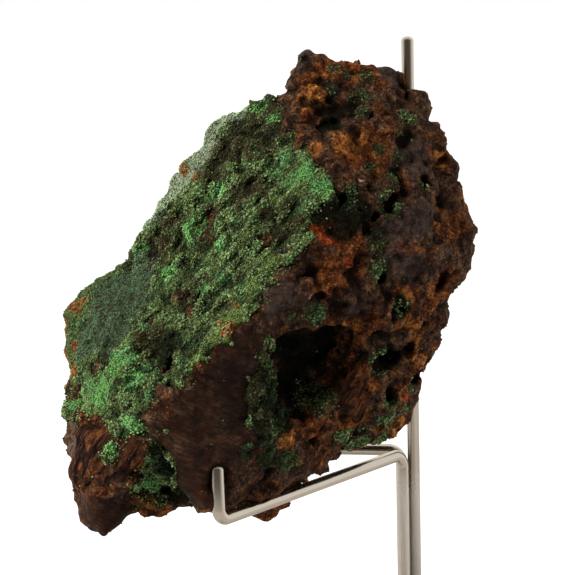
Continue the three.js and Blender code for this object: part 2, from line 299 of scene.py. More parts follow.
SLITS = [                      # start, end, radius at each end
    ((-22.6, -20, -6), (-25.5, -23, -12), 1.2, 2), ((-25.5, -22.5, -12), (-26.4, -26, -16.4), 2, 1.2),
    ((-22, -15, 1), (-17.6, -19.5, 1.6), 1.2, 1.6), ((-17.6, -19.5, 1.6), (-15, -21, -1), 1.4, 0.8),
    ((32, -9.6, 7.4), (29, -11, 4.4), 0.5, 0.9), ((29, -11, 4.4), (25.6, -12, 1.4), 0.9, 0.6),
    ((26.3, -13, 11), (34.4, -8.6, 10.7), 0.4, 0.6), ((34.4, -8.6, 10.7), (42.3, 1.6, 8.6), 0.6, 0.4),
    ((2.4, -19.4, -31.6), (6, -9, -41), 1, 1.6), ((-17.6, -19.5, 1.6), (-22.6, -21.5, -6), 0.8, 1),
    ((11, -17.4, 20), (16, -15.6, 19), 1.2, 0.8), ((19, -14.8, 16), (21, -14.6, 10), 0.6, 0.7),
    ((8.4, -2.4, 41.6), (9.4, -5.4, 38), 0.8, 1), ((10.6, -2.8, 41.8), (11.2, -6.4, 38.2), 0.7, 1),
    ((14.4, -4.4, 39.8), (17, -4, 39.6), 0.9, 0.7), ((24, -12.6, 2), (24.6, -12.6, -6), 1.1, 1.3),
    ((5, -24, -1.6), (10, -22.4, -3), 0.7, 0.9), ((29.6, -4.4, -9), (27.6, -5, -14), 0.7, 1),
    ((21, -14.6, 10), (21.6, -14.4, 2), 0.9, 1.1), ((21.6, -14.4, 2), (24.4, -11.6, -6), 1.1, 0.9),
    ((-1.2, -14.2, -9.2), (-0.6, -12.9, -9.2), 2, 2), ((-27.4, -25, -27), (-26.2, -22.5, -43), 0.8, 2),
    ((-45.6, -25.6, -36), (-44.4, -24.6, -39.6), 0.9, 0.6),
]
SWELLS = [                     # x, y, z, radius, and how far the surface moves out there
    (-46, 4, 0, 6, 2), (-49, 2, -5, 7, 1.8), (-49.5, 0, -13, 7, 2), (-49, -2, -22, 7, 2),
    (-47.5, -4, -28, 5, 1.6), (-51, 2, -5.5, 5, 1.3), (-49.8, -5, -22.6, 5, 2.4), (-49, -8, -26, 4, 1.6),
    (-51, -14, -33, 6, -1.4), (-51, -14, -27.5, 4.5, -1.1), (-48.1, -19, -44.6, 6, -1),
    (-39, -19, -47.9, 4, 1.3), (-42.6, -21, -50.8, 2, 1.8), (-32.1, -19, -46.7, 5, 1.3),
    (-23.6, -20, -47.1, 5, -1.8), (-19.3, -26.6, -42, 3.6, 1.6), (-17.9, -25.3, -43.5, 3.4, 2),
    (-14.1, -22, -45.3, 4, 1.2), (-33.3, -15.2, -41.5, 6, 2.2), (-34, -16.5, -44.8, 5, 1.8),
    (-29.8, -18, -45, 5, 1), (-17.6, -20, -47.5, 3, 0.8), (-2, -7, -50, 4, 1.2), (-0.8, -8, -50.1, 4, 0.8),
    (11, -10, -41, 4, 1.3), (10.5, -9, -41.6, 4, 1.2), (25.1, 5, -36.3, 4, 1.4), (30.6, 1, -27.7, 4.5, 0.9),
    (33.2, 2, -15, 6, -2.8), (36.7, 3, -7.6, 6, -2.4), (40.6, 5, -0.3, 6, 0.7), (42, 5, 3.9, 7, 0.7),
    (45, 5, 11, 3, 1.2), (43.6, 5, 12.6, 5, 0.6), (40, 4, 20, 5, 1.2), (39.2, 5, 25.4, 5, 1.3),
    (38.4, 4, 26.2, 3.5, 1.6), (36, 6, 32, 6, 2.4), (38, 5, 27, 5, 1.8), (36.6, 6, 36.2, 3.2, 1.7),
    (33, 9, 40, 6, 1.6), (32.7, 9, 42.8, 5, 0.8), (25, 11, 45.5, 7, 1.7), (22.8, 12, 49.5, 5.5, 1.4),
    (27.5, 12, 47, 4, 0.9), (4.5, 6, 52, 4, 1.6), (8, 7, 51, 4, 1.2), (5.5, 9, 53.6, 3.6, 2.4),
    (8.5, 9, 52.6, 4, 0.7), (-16, 13, 38.5, 5, 1), (-17.1, 13, 35.5, 4, 1.6), (-10.8, 13, 40.8, 4, -1.1),
    (-24.1, 12, 27.6, 3.6, 1.6), (-28, 11, 22, 6, -2.2), (-27.7, 11, 22.6, 4.5, -1.6),
    (-31.1, 9, 17.1, 3.6, 1.7), (-33, 8, 13, 6, 0.6), (-35.4, 7, 9.3, 3.6, 1.6), (-41, 6, 4.4, 7, 0.8),
    (-37, 7, 6.5, 4.5, 1.5), (-50.5, 0, -9, 4, 0.7), (-1.5, -7, -50.5, 5, 1), (10, -10, -41.8, 4, 1),
    (-42, -20, -51, 5, 0.7), (31.5, 2, -17, 4, -1.5), (36.5, 3, -7, 4, -0.9), (-51.5, -10, -27, 4, -1),
    (-51.5, -13, -31, 5, -0.7),
]
STREAKED = [                   # split into thin ridges that run up to the right
    (-44, -23, -31, 8), (-37, -26, -31, 6), (-47, -18, -37, 7), (-42, -22, -40, 6), (12, -13, -23, 6),
    (10, -14, -30, 4), (14.4, -12, -20, 4), (15, -11, -27, 3.6),
]
ROUNDED = [                    # the cavity's rim, worn round
    (4, -23, -4, 6), (9, -20, -5, 6), (14, -14, -8, 6), (15, -10, -16, 7), (13, -12, -26, 6),
]
CREASES = [(5, 0.9, 12), (2.8, 0.6, 13)]      # spacing, depth and seed of the cracks between crumbly lumps
ROUNDED_BLOCK = ((-6, -34, -42), (26, 12, 10))      # corners of a block that holds the rim
WORN_PASSES = 8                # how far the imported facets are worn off
ROUNDING_PASSES = 50
REACH = 2.8                    # fields are roughened this far from their surface
DEEPEST_CRUSTED_PIT = 0.7
BEHIND = (8, 18)               # between these depths the stone's guessed back takes on its own relief
BEHIND_COLOURS = (8, 16)       # and between these its own colours
PLATE_LINES = -28              # degrees in the X-Z plane at which the plate's fine lines run
TONGUE_LINES = 58              # and the tongue's ridges


def streaks(points, degrees, length, width, seed):
    """Noise drawn out along lines that run at an angle to X in the X-Z plane."""
    turn = math.radians(degrees)
    along = points[:, 0] * math.cos(turn) + points[:, 2] * math.sin(turn)
    across = points[:, 2] * math.cos(turn) - points[:, 0] * math.sin(turn)
    place = np.stack([along / length, points[:, 1] / length * 2, across / width], -1)
    return Noise(seed)(place.astype(np.float32), 1)


def swell(lattice, field, x, y, z, radius, rise):
    """Moves a field's surface out by rise round a place, or in if rise is less than 0."""
    centre = np.array((x, y, z), np.float32)
    part, points = lattice.window(centre - radius, centre + radius)
    field[part] -= rise * smoothstep(np.linalg.norm(points - centre, axis=-1) / radius, 1, 0.1)


def stone_field(lattice, packed, crusted):
    """The stone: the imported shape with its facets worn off, made rugged, pitted and split.

    Where crusted is above 0 the pits stay shallow enough for the crust to bridge them.
    """
    axes = lattice.axes()
    shape = lattice.shape
    worn = soften(packed, WORN_PASSES)
    rounded = patch(axes, ROUNDED)
    part, _ = lattice.window(*ROUNDED_BLOCK)
    worn[part] += (soften(worn[part], ROUNDING_PASSES) - worn[part]) * rounded[part]
    for spot in SWELLS:
        swell(lattice, worn, *spot)
    near = np.abs(worn) < REACH
    points = lattice.points(near)
    bent = points + np.stack([cloud(shape, 3, seed)[near] for seed in (31, 32, 33)], -1) * 0.6
    wobble = cloud(shape, 4, 11) * 0.12
    calm = np.clip(patch(axes, CALM, wobble), 0, 1)[near]
    rugged = 1 - 0.92 * calm
    height = Facets(1)(bent, 7.5) * 0.42 + Facets(2)(bent, 3.2) * 0.33 + Facets(3)(bent, 1.7) * 0.2
    height += cloud(shape, 1.3, 3)[near] * 0.2
    for length, depth, seed in CREASES:
        height -= depth * smoothstep(np.abs(cloud(shape, length, seed)[near]), 0.4, 0)
    pits = smoothstep(cloud(shape, 2.0, 5)[near] + 0.6 * cloud(shape, 1.1, 6)[near], 1.0, 2.2) * 1.7
    height = (height - pits) * rugged + cloud(shape, 5, 8)[near] * 0.3
    height += smoothstep(points[:, 1], *BEHIND) * cloud(shape, 7, 15)[near] * 0.8
    height += calm * (streaks(points, PLATE_LINES, 9, 1.5, 9) * 0.16 + cloud(shape, 1.0, 4)[near] * 0.04)
    streaked = patch(points, STREAKED)
    height = height * (1 - 0.6 * streaked) + streaked * streaks(points, TONGUE_LINES, 10, 1.4, 14) * 1.1
    field = worn.copy()
    field[near] -= height * (1 - 0.5 * np.clip(crusted[near], 0, 1))
    field = np.where(crusted > 0, np.minimum(field, worn + DEEPEST_CRUSTED_PIT), field)
    warp = cloud(shape, 1.3, 7) * 0.5 + cloud(shape, 2.6, 10) * 0.7
    for x, y, z, radius, depth in VUGS:
        hollow_out(lattice, field, warp, (x, y - 1, z), (x, y + depth, z), radius, radius * 0.75)
    for start, end, radius, end_radius in SLITS:
        hollow_out(lattice, field, warp, start, end, radius, end_radius)
    return worn, soften(field, 1)


# ---- Meshes ----

def parts_of(count, faces):
    """A number for each corner that is the same for all corners of one connected part."""
    label = np.arange(count)
    pairs = np.concatenate([faces[:, [a, a - 1]] for a in range(faces.shape[1])])
    while True:
        low = np.minimum(label[pairs[:, 0]], label[pairs[:, 1]])
        before = label.copy()
        np.minimum.at(label, pairs[:, 0], low)
        np.minimum.at(label, pairs[:, 1], low)
        label = label[label]
        if (label == before).all():
            return label


def keep_parts(corners, faces, fewest):
    """The mesh without the connected parts that have fewer faces than fewest."""
    label = parts_of(len(corners), faces)
    sizes = np.bincount(label[faces[:, 0]], minlength=len(corners))
    kept = faces[sizes[label[faces[:, 0]]] >= fewest]
    used = np.zeros(len(corners), bool)
    used[kept] = True
    place = np.cumsum(used) - 1
    return corners[used], place[kept]


def new_object(name, corners, faces, smooth=True):
    """An object from corners in millimetres, in the row's frame, and faces that all have as many sides."""
    mesh = bpy.data.meshes.new(name)
    places = np.asarray(corners) * MM
    size = faces.shape[1]
    mesh.vertices.add(len(places))
    mesh.vertices.foreach_set("co", places.astype(np.float32).ravel())
    mesh.loops.add(faces.size)
    mesh.loops.foreach_set("vertex_index", faces.astype(np.int32).ravel())
    mesh.polygons.add(len(faces))
    mesh.polygons.foreach_set("loop_start", np.arange(0, faces.size, size, dtype=np.int32))
    mesh.update(calc_edges=True)
    mesh.validate()
    mesh.polygons.foreach_set("use_smooth", np.full(len(faces), smooth))
    piece = bpy.data.objects.new(name, mesh)
    bpy.context.scene.collection.objects.link(piece)
    return piece


def thin_out(piece, triangles):
    """Brings a mesh down to a number of triangles and leaves the most where the shape needs them."""
    modifier = piece.modifiers.new("thin out", "DECIMATE")
    modifier.ratio = min(1.0, triangles / (2 * len(piece.data.polygons)))
    modifier.use_collapse_triangulate = True
    depsgraph = bpy.context.evaluated_depsgraph_get()
    thinned = bpy.data.meshes.new_from_object(piece.evaluated_get(depsgraph))
    piece.modifiers.clear()
    old, piece.data = piece.data, thinned
    bpy.data.meshes.remove(old)
    piece.data.name = piece.name


def corners_of(piece):
    """A piece's corners, in millimetres from the stone's origin."""
    places = np.empty(len(piece.data.vertices) * 3, np.float32)
    piece.data.vertices.foreach_get("co", places)
    return places.reshape(-1, 3) / MM - STONE_ORIGIN.astype(np.float32)


def set_mask(piece, name, values):
    """Stores one number per corner for the material to read."""
    mask = piece.data.attributes.new(name, "FLOAT", "POINT")
    mask.data.foreach_set("value", np.broadcast_to(values, len(mask.data)).astype(np.float32))


def field_piece(lattice, name, field, triangles, fewest):
    """A piece whose surface is a field's zero surface."""
    corners, faces = keep_parts(*lattice.surface(field), fewest)
    piece = new_object(name, corners + STONE_ORIGIN, faces)
    thin_out(piece, triangles)
    return piece


# ---- The green crusts ----

FACE_SPREAD = [                # where the face crust runs on past its packed outline
    (-34, -28, -23, 2.4), (-36.5, -27.6, -26, 1.8), (-39, -27, -29.5, 2), (-40.5, -26.6, -32, 1.7),
    (-48, -8, -25, 4), (-50.5, -6, -26, 3), (-45, -14, -25, 4), (-49, 2, -3, 4), (-50, 1, -9, 4),
    (-50, -1, -15, 4), (-50, -4, -20, 4),
]
FACE_BARE = [                  # bare stone inside the face crust's outline
    (-30.6, -30, -23.6, 2.4), (-29, -29.4, -27, 2.4), (-32.6, -28.6, -27, 1.6), (9.8, -18.4, 20, 2.6),
    (7.4, -19.2, 18.6, 2.2), (-26, -24, -12.5, 2), (-26.8, -25.5, -16, 1.6), (7, -19, 15.5, 3),
    (3.4, -22.5, 9.5, 3.2), (0, -24.6, 6, 3.4), (-2.5, -26.4, 2.6, 3), (-5, -28, -2, 3),
    (-9, -29.5, -5.8, 3), (-13.5, -30.6, -10, 3.2), (-19, -31.4, -14, 3.3), (-24, -31.5, -19, 3.3),
    (-28, -31, -21, 3), (-30.4, -29.5, -25.5, 2.2), (-26.6, -29.6, -17.6, 2.6),
]
SMALL_BARE = [                 # bare stone beside the small crusts
    (-28.5, -29, -27, 2.6), (-27.4, -28, -29.5, 2), (-25.4, -22, -35, 2.2), (-25, -21.5, -40, 2.4),
    (-24, -20.5, -45, 3), (15, -5, -36, 4), (20.5, -2.4, -35.5, 4), (26, 2, -34.5, 4), (17, -6, -32, 2.4),
    (25, 0, -31, 2.4), (-22.5, -27, -30, 3.4), (-22, -27, -36, 3.6), (-22, -26, -42, 3.6),
    (-24.6, -29, -25, 3), (-12.4, -30, -9, 2.6), (-12.4, -29, -15, 2.6), (-12.4, -28, -21, 2.6),
    (-11.6, -26, -27, 2.4),
]
FACE_ROWS = [                  # where the face crust lies in narrow rows
    (-2, -14, 18, 13), (-12, -20, 6, 12), (-22, -24, -6, 9), (-8, -8, 20, 9), (-18, -12, 8, 9),
]
CRUST_GAP = 0.3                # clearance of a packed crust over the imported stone
CRUST_THICKNESS = 1.1          # of a packed crust
CRUST_SMOOTH = [               # where the face crust is velvety, with finer grains
    (-38, -3, -1.3, 9), (-40, -10, -7, 7), (-44, -6, -10, 7), (-36, -18, -14, 4), (-41, -16, -20, 5),
    (-3.6, -22.3, 9, 2.6), (-7, -25, 4, 3), (-11.4, -27, -1, 3), (-15, -29, -5, 3), (6, -14, 25, 4),
    (-24, 12, 26, 6), (-43, -15, -21, 5), (-39, -18, -18, 5), (-36, -19, -14, 4), (-47, -11, -24, 4),
    (-20, 12, 32, 6), (2, -11, 27.4, 5), (-43, 4, 3, 6), (-47, 2, -2, 6), (-50, 0, -8, 5), (-50, -2, -15, 5),
    (-15, 14, 37, 4),
]
ROW_LINES = 49                 # degrees at which the face crust's rows run
WAVE_LINES = 42                # its broad waves
SMALL_LINES = 75               # and the small crusts' ridges
DEEPEST_CREVICE = 1.0          # a full crust's surface stays this close to the worn surface
CRUST_DIP = 5                  # how far a crust dips under the stone where it ends
SHELL_DEPTH = 0.9              # a crust's hidden inner side lies this and the slack under the worn surface
SHELL_SLACK = 1.4
HIDDEN_STONE = 1.3             # under a crust the stone is smooth and lies this far under its worn surface


def crust_field(worn, stone, cover, relief):
    """A crust's body: a skin over the stone where cover is 1, that dips under it where cover falls to 0."""
    body = np.minimum(stone - relief, worn + DEEPEST_CREVICE) + (1 - cover) * CRUST_DIP
    return np.maximum(body, -(worn + SHELL_DEPTH + SHELL_SLACK))


def away_along(lattice, packed, node):
    """How far each place is from a packed crust, measured along the stone's surface more than off it."""
    off = np.maximum(CRUST_GAP - packed, packed - CRUST_GAP - CRUST_THICKNESS)
    return lattice.distance_to(node) - np.maximum(off, 0)


def face_cover(lattice, packed):
    """How fully the big crust covers each place: 1 well inside its outline, and 0 outside."""
    shape, axes = lattice.shape, lattice.axes()
    wobble = cloud(shape, 2.4, 21) * 0.45 + cloud(shape, 1.1, 22) * 0.25
    wobble *= 1 - 0.8 * patch(axes, CRUST_SMOOTH)
    cover = smoothstep(away_along(lattice, packed, "conichalcite_face_crust") + wobble, 1.4, 0.6)
    cover = np.maximum(cover, patch(axes, FACE_SPREAD, wobble * 0.35))
    return cover * (1 - patch(axes, FACE_BARE, wobble * 0.4))


def face_crust(lattice, worn, stone, cover):
    """The big crust on the stone's upper left face, in rows that run up to the right.

    It comes with its fine relief, which is less than 0 in the crevices between clusters.
    """
    shape = lattice.shape
    near = (np.abs(stone) < REACH) & (cover > 0)
    points = lattice.points(near)
    rows = patch(points, FACE_ROWS)
    smooth = patch(points, CRUST_SMOOTH)
    calm = (1 - 0.8 * smooth) * (1 - 0.5 * rows)
    fine = calm * (0.36 * cloud(shape, 1.9, 24)[near] + 0.36 * cloud(shape, 1.0, 25)[near])
    fine += (0.35 + 1.1 * rows) * (1 - 0.5 * smooth) * streaks(points, ROW_LINES, 8, 1.4, 26)
    coarse = 0.5 * streaks(points, WAVE_LINES, 13, 5, 23) + 0.15 * Facets(27)(points, 3.4)
    coarse = 0.7 + coarse * (1 - 0.5 * smooth)
    ridges, relief = np.zeros(shape, np.float32), np.zeros(shape, np.float32)
    ridges[near] = fine
    relief[near] = coarse + fine
    return ridges, crust_field(worn, stone, cover, relief)


def small_crust(lattice, packed, worn, stone, node, seed):
    """A crust in a hollow or along an edge, with a ragged outline: its cover, fine relief and field."""
    shape = lattice.shape
    wobble = cloud(shape, 2.0, seed) * 0.7 + cloud(shape, 1.0, seed + 3) * 0.3
    cover = smoothstep(away_along(lattice, packed, node) + wobble, 1.2, 0.2)
    cover *= 1 - patch(lattice.axes(), SMALL_BARE, wobble * 0.3)
    ridges = 0.2 * cloud(shape, 1.8, seed + 1) + 0.3 * cloud(shape, 0.9, seed + 2)
    near = (np.abs(stone) < REACH) & (cover > 0)
    ridges[near] += 0.6 * streaks(lattice.points(near), SMALL_LINES, 5, 1.2, seed + 4)
    return cover, ridges, crust_field(worn, stone, cover, 0.4 + ridges * 1.1)


# ---- Grains ----

GRAIN_CORNERS = np.array([(1, 0, 0), (-1, 0, 0), (0, 1, 0), (0, -1, 0), (0, 0, 1), (0, 0, -1)], np.float32)
GRAIN_FACES = np.array([
    (0, 2, 4), (2, 1, 4), (1, 3, 4), (3, 0, 4), (2, 0, 5), (1, 2, 5), (3, 1, 5), (0, 3, 5),
])


def random_turns(count, draws):
    """Random rotation matrices."""
    q = draws.normal(size=(count, 4))
    w, x, y, z = (q / np.linalg.norm(q, axis=1, keepdims=True)).T
    rows = [
        [1 - 2 * (y * y + z * z), 2 * (x * y - z * w), 2 * (x * z + y * w)],
        [2 * (x * y + z * w), 1 - 2 * (x * x + z * z), 2 * (y * z - x * w)],
        [2 * (x * z - y * w), 2 * (y * z + x * w), 1 - 2 * (x * x + y * y)],
    ]
    return np.array(rows).transpose(2, 0, 1)


def scatter(piece, weight, count, spacing, seed):
    """Random places on a piece, thicker where weight at its corners is more, and the outward way at each."""
    draws = np.random.default_rng(seed)
    corners = corners_of(piece)
    piece.data.calc_loop_triangles()
    faces = np.empty(len(piece.data.loop_triangles) * 3, np.int32)
    piece.data.loop_triangles.foreach_get("vertices", faces)
    faces = faces.reshape(-1, 3)
    a, b, c = (corners[faces[:, i]] for i in range(3))
    normal = np.cross(b - a, c - a)
    area = np.linalg.norm(normal, axis=1)
    share = area * np.maximum(weight[faces].mean(axis=1), 0)
    chosen = draws.choice(len(faces), count * 4, p=share / share.sum())
    u, v = draws.random((2, len(chosen)))
    flip = u + v > 1
    u, v = np.where(flip, 1 - u, u)[:, None], np.where(flip, 1 - v, v)[:, None]
    places = a[chosen] + u * (b - a)[chosen] + v * (c - a)[chosen]
    cell = np.floor(places / spacing).astype(np.int64)
    _, first = np.unique(cell, axis=0, return_index=True)
    first = np.sort(first)[:count]
    normals = normal[chosen] / np.maximum(area[chosen], 1e-9)[:, None]
    return places[first].astype(np.float32), normals[first].astype(np.float32)


def grains(name, places, normals, smallest, largest, seed, skew, smooth=True, lift=0.4):
    """Small crystals at random turns along a surface, each lifted off it by lift radii.

    The smallest and largest are radii, and more skew means more small ones.
    """
    draws = np.random.default_rng(seed)
    count = len(places)
    radii = (smallest + (largest - smallest) * draws.random((count, 1)) ** skew).astype(np.float32)
    radii *= 1 - 0.35 * patch(places, CRUST_SMOOTH)[:, None]
    stretch = draws.uniform(0.7, 1.3, (count, 1, 3))
    turned = (GRAIN_CORNERS[None] * stretch) @ random_turns(count, draws)
    corners = turned * radii[:, None] + (places + normals * radii * lift)[:, None]
    faces = GRAIN_FACES[None] + len(GRAIN_CORNERS) * np.arange(count)[:, None, None]
    piece = new_object(name, corners.reshape(-1, 3) + STONE_ORIGIN, faces.reshape(-1, 3), smooth)
    set_mask(piece, "tint", np.repeat(draws.random(count), len(GRAIN_CORNERS)))
    return piece


# ---- The stand ----

ROD_RADIUS = 1.5
ROD_SIDES = 32
ROD_DOME = 1.1                 # height of a rod's rounded end
LEG_BEND_RADIUS = 3.4
TIP_BEND_RADIUS = 2.6
BEND_STEPS = 12
DOME_STEPS = 7
BASE_EDGE = 0.8                # radius of the base's rounded edges
BASE_EDGE_STEPS = 6
BASE_SIDES = 128


def straight(a, b):
    """The way from a to b, as a vector of length 1."""
    return (b - a) / np.linalg.norm(b - a)


def bent_path(corners, radii):
    """A rod's centre line: straight between its corners, with a round bend at each inner one."""
    path = [corners[0]]
    for before, corner, after, radius in zip(corners, corners[1:], corners[2:], radii):
        way_in, way_out = straight(before, corner), straight(corner, after)
        angle = math.acos(float(way_in @ way_out))
        start = corner - way_in * radius * math.tan(angle / 2)
        centre = start + straight(np.zeros(3), way_out - way_in * (way_in @ way_out)) * radius
        for step in range(BEND_STEPS + 1):
            turn = Matrix.Rotation(angle * step / BEND_STEPS, 3, Vector(np.cross(way_in, way_out)))
            path.append(centre + np.array(turn @ Vector(start - centre)))
    path.append(corners[-1])
    return np.array(path)


def ring_piece(name, rings, foot, crown, replaced):
    """A closed piece from rings of corners between two end points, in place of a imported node."""
    sides = len(rings[0])
    last = (len(rings) - 1) * sides
    foot_corner, crown_corner = last + sides, last + sides + 1
    around = [(i, (i + 1) % sides) for i in range(sides)]
    faces = []
    for a in range(0, last, sides):
        b = a + sides
        for i, j in around:
            faces += [(a + i, a + j, b + j), (a + i, b + j, b + i)]
    for i, j in around:
        faces += [(foot_corner, j, i), (crown_corner, last + i, last + j)]
    piece = new_object(name, np.vstack([*rings, [foot], [crown]]), np.array(faces))
    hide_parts(replaced)
    return piece


def rod(name, path, replaced):
    """A round steel rod along a path that ends in a shallow dome."""
    ways = np.diff(path, axis=0)
    ways = np.vstack([ways[:1], (ways[1:] + ways[:-1]), ways[-1:]])
    ways /= np.linalg.norm(ways, axis=1, keepdims=True)
    end, end_way = path[-1], ways[-1]
    sections = [(point, way, ROD_RADIUS) for point, way in zip(path[:-1], ways[:-1])]
    for step in range(DOME_STEPS):
        angle = math.pi / 2 * step / DOME_STEPS
        height = ROD_DOME * (math.sin(angle) - 1)
        sections.append((end + end_way * height, end_way, ROD_RADIUS * math.cos(angle)))
    side = np.array(Vector(ways[0]).orthogonal().normalized())
    turns = np.arange(ROD_SIDES) * 2 * math.pi / ROD_SIDES
    rings = []
    for point, way, radius in sections:
        side = side - way * (side @ way)
        side /= np.linalg.norm(side)
        other = np.cross(way, side)
        rings.append(point + radius * (np.cos(turns)[:, None] * side + np.sin(turns)[:, None] * other))
    return ring_piece(name, rings, path[0], end, replaced)


def arm_path(node, sign):
    """An arm's leg, bent arm and upturned tip, from its packed box. sign is the way it runs along Y."""
    low, high = (np.array(corner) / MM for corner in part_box(node))
    leg_y, tip_y = (high[1], low[1]) if sign < 0 else (low[1], high[1])
    leg_x, leg_y = high[0] - ROD_RADIUS, leg_y + sign * ROD_RADIUS
    tip_x, tip_y = low[0] + ROD_RADIUS, tip_y - sign * ROD_RADIUS
    height = high[2] - TIP_RISE
    leg, tip = [(leg_x, leg_y, z) for z in (low[2], height)], [(tip_x, tip_y, z) for z in (height, high[2])]
    return bent_path([np.array(corner) for corner in leg + tip], [LEG_BEND_RADIUS, TIP_BEND_RADIUS])


def base_disc():
    """The stand's round base, turned, with softly rounded edges."""
    low, high = (np.array(corner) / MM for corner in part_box("stand_base"))
    inner, top = (high[0] - low[0]) / 2 - BASE_EDGE, high[2]
    bend = [math.pi / 2 * step / BASE_EDGE_STEPS for step in range(BASE_EDGE_STEPS + 1)]
    profile = [(inner * share, 0) for share in (0.35, 0.7)]
    profile += [(inner + BASE_EDGE * math.sin(a), BASE_EDGE - BASE_EDGE * math.cos(a)) for a in bend]
    profile += [(inner + BASE_EDGE * math.cos(a), top - BASE_EDGE + BASE_EDGE * math.sin(a)) for a in bend]
    profile += [(inner * share, top) for share in (0.7, 0.35)]
    turns = np.arange(BASE_SIDES) * 2 * math.pi / BASE_SIDES
    rings = [np.stack([r * np.cos(turns), r * np.sin(turns), np.full(BASE_SIDES, z)], 1) for r, z in profile]
    return ring_piece("base_disc", rings, (0, 0, 0), (0, 0, top), "stand_base")


# ---- Materials ----

BRUSHED_ROUGHNESS = 0.08       # how much rougher, and less metallic, the steel is below the arms
BRUSHED_DULLING = 0.4


class Nodes:
    """Shader nodes. Each call adds one and gives its output."""

    def __init__(self, tree):
        self.tree = tree

    def add(self, kind, inputs=(), **settings):
        node = self.tree.nodes.new(kind)
        for key, value in settings.items():
            setattr(node, key, value)
        for key, value in dict(inputs).items():
            self.put(node.inputs[key], value)
        return node

    def put(self, socket, value):
        if isinstance(value, bpy.types.NodeSocket):
            self.tree.links.new(value, socket)
        elif isinstance(value, tuple) and len(value) == 3 and socket.type == "RGBA":
            socket.default_value = (*value, 1)
        else:
            socket.default_value = value

    def math(self, operation, a, b=0.0, clamp=False):
        return self.add("ShaderNodeMath", {0: a, 1: b}, operation=operation, use_clamp=clamp).outputs[0]

    def times(self, a, b):
        return self.math("MULTIPLY", a, b)

    def plus(self, a, b):
        return self.math("ADD", a, b)

    def minus(self, a, b, clamp=False):
        return self.math("SUBTRACT", a, b, clamp)

    def between(self, value, low, high):
        """0 below low, 1 above high and smooth in between."""
        inputs = {"Value": value, "From Min": low, "From Max": high}
        return self.add("ShaderNodeMapRange", inputs, interpolation_type="SMOOTHSTEP").outputs["Result"]

    def mix(self, share, a, b):
        """Colour a, going over to b as share goes from 0 to 1."""
        node = self.add("ShaderNodeMix", {"Factor": share, 6: a, 7: b}, data_type="RGBA")
        return node.outputs[2]


class Paint(Nodes):
    """A procedural material."""

    def __init__(self, name):
        self.material = bpy.data.materials.new(name)
        self.material.use_nodes = True
        super().__init__(self.material.node_tree)
        self.shader = self.tree.nodes["Principled BSDF"]
        self.place = self.add("ShaderNodeTexCoord").outputs["Object"]

    def shade(self, name, value):
        """Sets or links an input of the shader itself."""
        self.put(self.shader.inputs[name], value)

    def mask(self, name):
        """A number stored at the mesh's corners."""
        return self.add("ShaderNodeAttribute", attribute_name=name).outputs["Fac"]

    def noise(self, size, detail=3, rough=0.6, seed=0.0, place=None, warp=0.0):
        """Noise from 0 to 1 with lumps of about size millimetres."""
        inputs = {"Vector": place or self.place, "Scale": 1 / (size * MM), "Detail": detail}
        inputs |= {"Roughness": rough, "W": seed, "Distortion": warp}
        return self.add("ShaderNodeTexNoise", inputs, noise_dimensions="4D").outputs["Fac"]

    def drawn_out(self, degrees, stretch):
        """Coordinates that make noise run in streaks at an angle to X in the X-Z plane."""
        turn = {"Vector": self.place, "Angle": math.radians(degrees)}
        turned = self.add("ShaderNodeVectorRotate", turn, rotation_type="Y_AXIS").outputs[0]
        shorter = {0: turned, 1: (1 / stretch, 1.0, 1.0)}
        return self.add("ShaderNodeVectorMath", shorter, operation="MULTIPLY").outputs[0]

    def strong(self, noise, strength=3.2):
        """Noise spread out to fill 0 to 1."""
        moved = {0: noise, 1: strength, 2: 0.5 - strength / 2}
        return self.add("ShaderNodeMath", moved, operation="MULTIPLY_ADD", use_clamp=True).outputs[0]

    def ramp(self, value, *stops):
        """A colour that goes through (place, colour) stops as value rises."""
        node = self.add("ShaderNodeValToRGB", {"Fac": value})
        elements = node.color_ramp.elements
        while len(elements) < len(stops):
            elements.new(0.5)
        for element, (place, colour) in zip(elements, stops):
            element.position = place
            element.color = (*colour, 1)
        return node.outputs["Color"]

    def ragged(self, mask, noise, spread=0.9, edge=0.15):
        """A mask with its soft edge broken up by noise that fills 0 to 1."""
        moved = self.plus(mask, self.times(self.minus(noise, 0.5), spread))
        return self.times(self.between(moved, 0.5 - edge, 0.5 + edge), self.between(mask, 0.0, 0.25))

    def lay(self, colour, name, noise, over, spread=0.9, edge=0.15):
        """A colour with another over it in a mask's ragged patches."""
        return self.mix(self.ragged(self.mask(name), noise, spread, edge), colour, over)

    def bump(self, height, depth, under=None):
        """Fine relief of about depth millimetres."""
        inputs = {"Height": height, "Distance": depth * MM}
        if under is not None:
            inputs["Normal"] = under
        return self.add("ShaderNodeBump", inputs).outputs["Normal"]


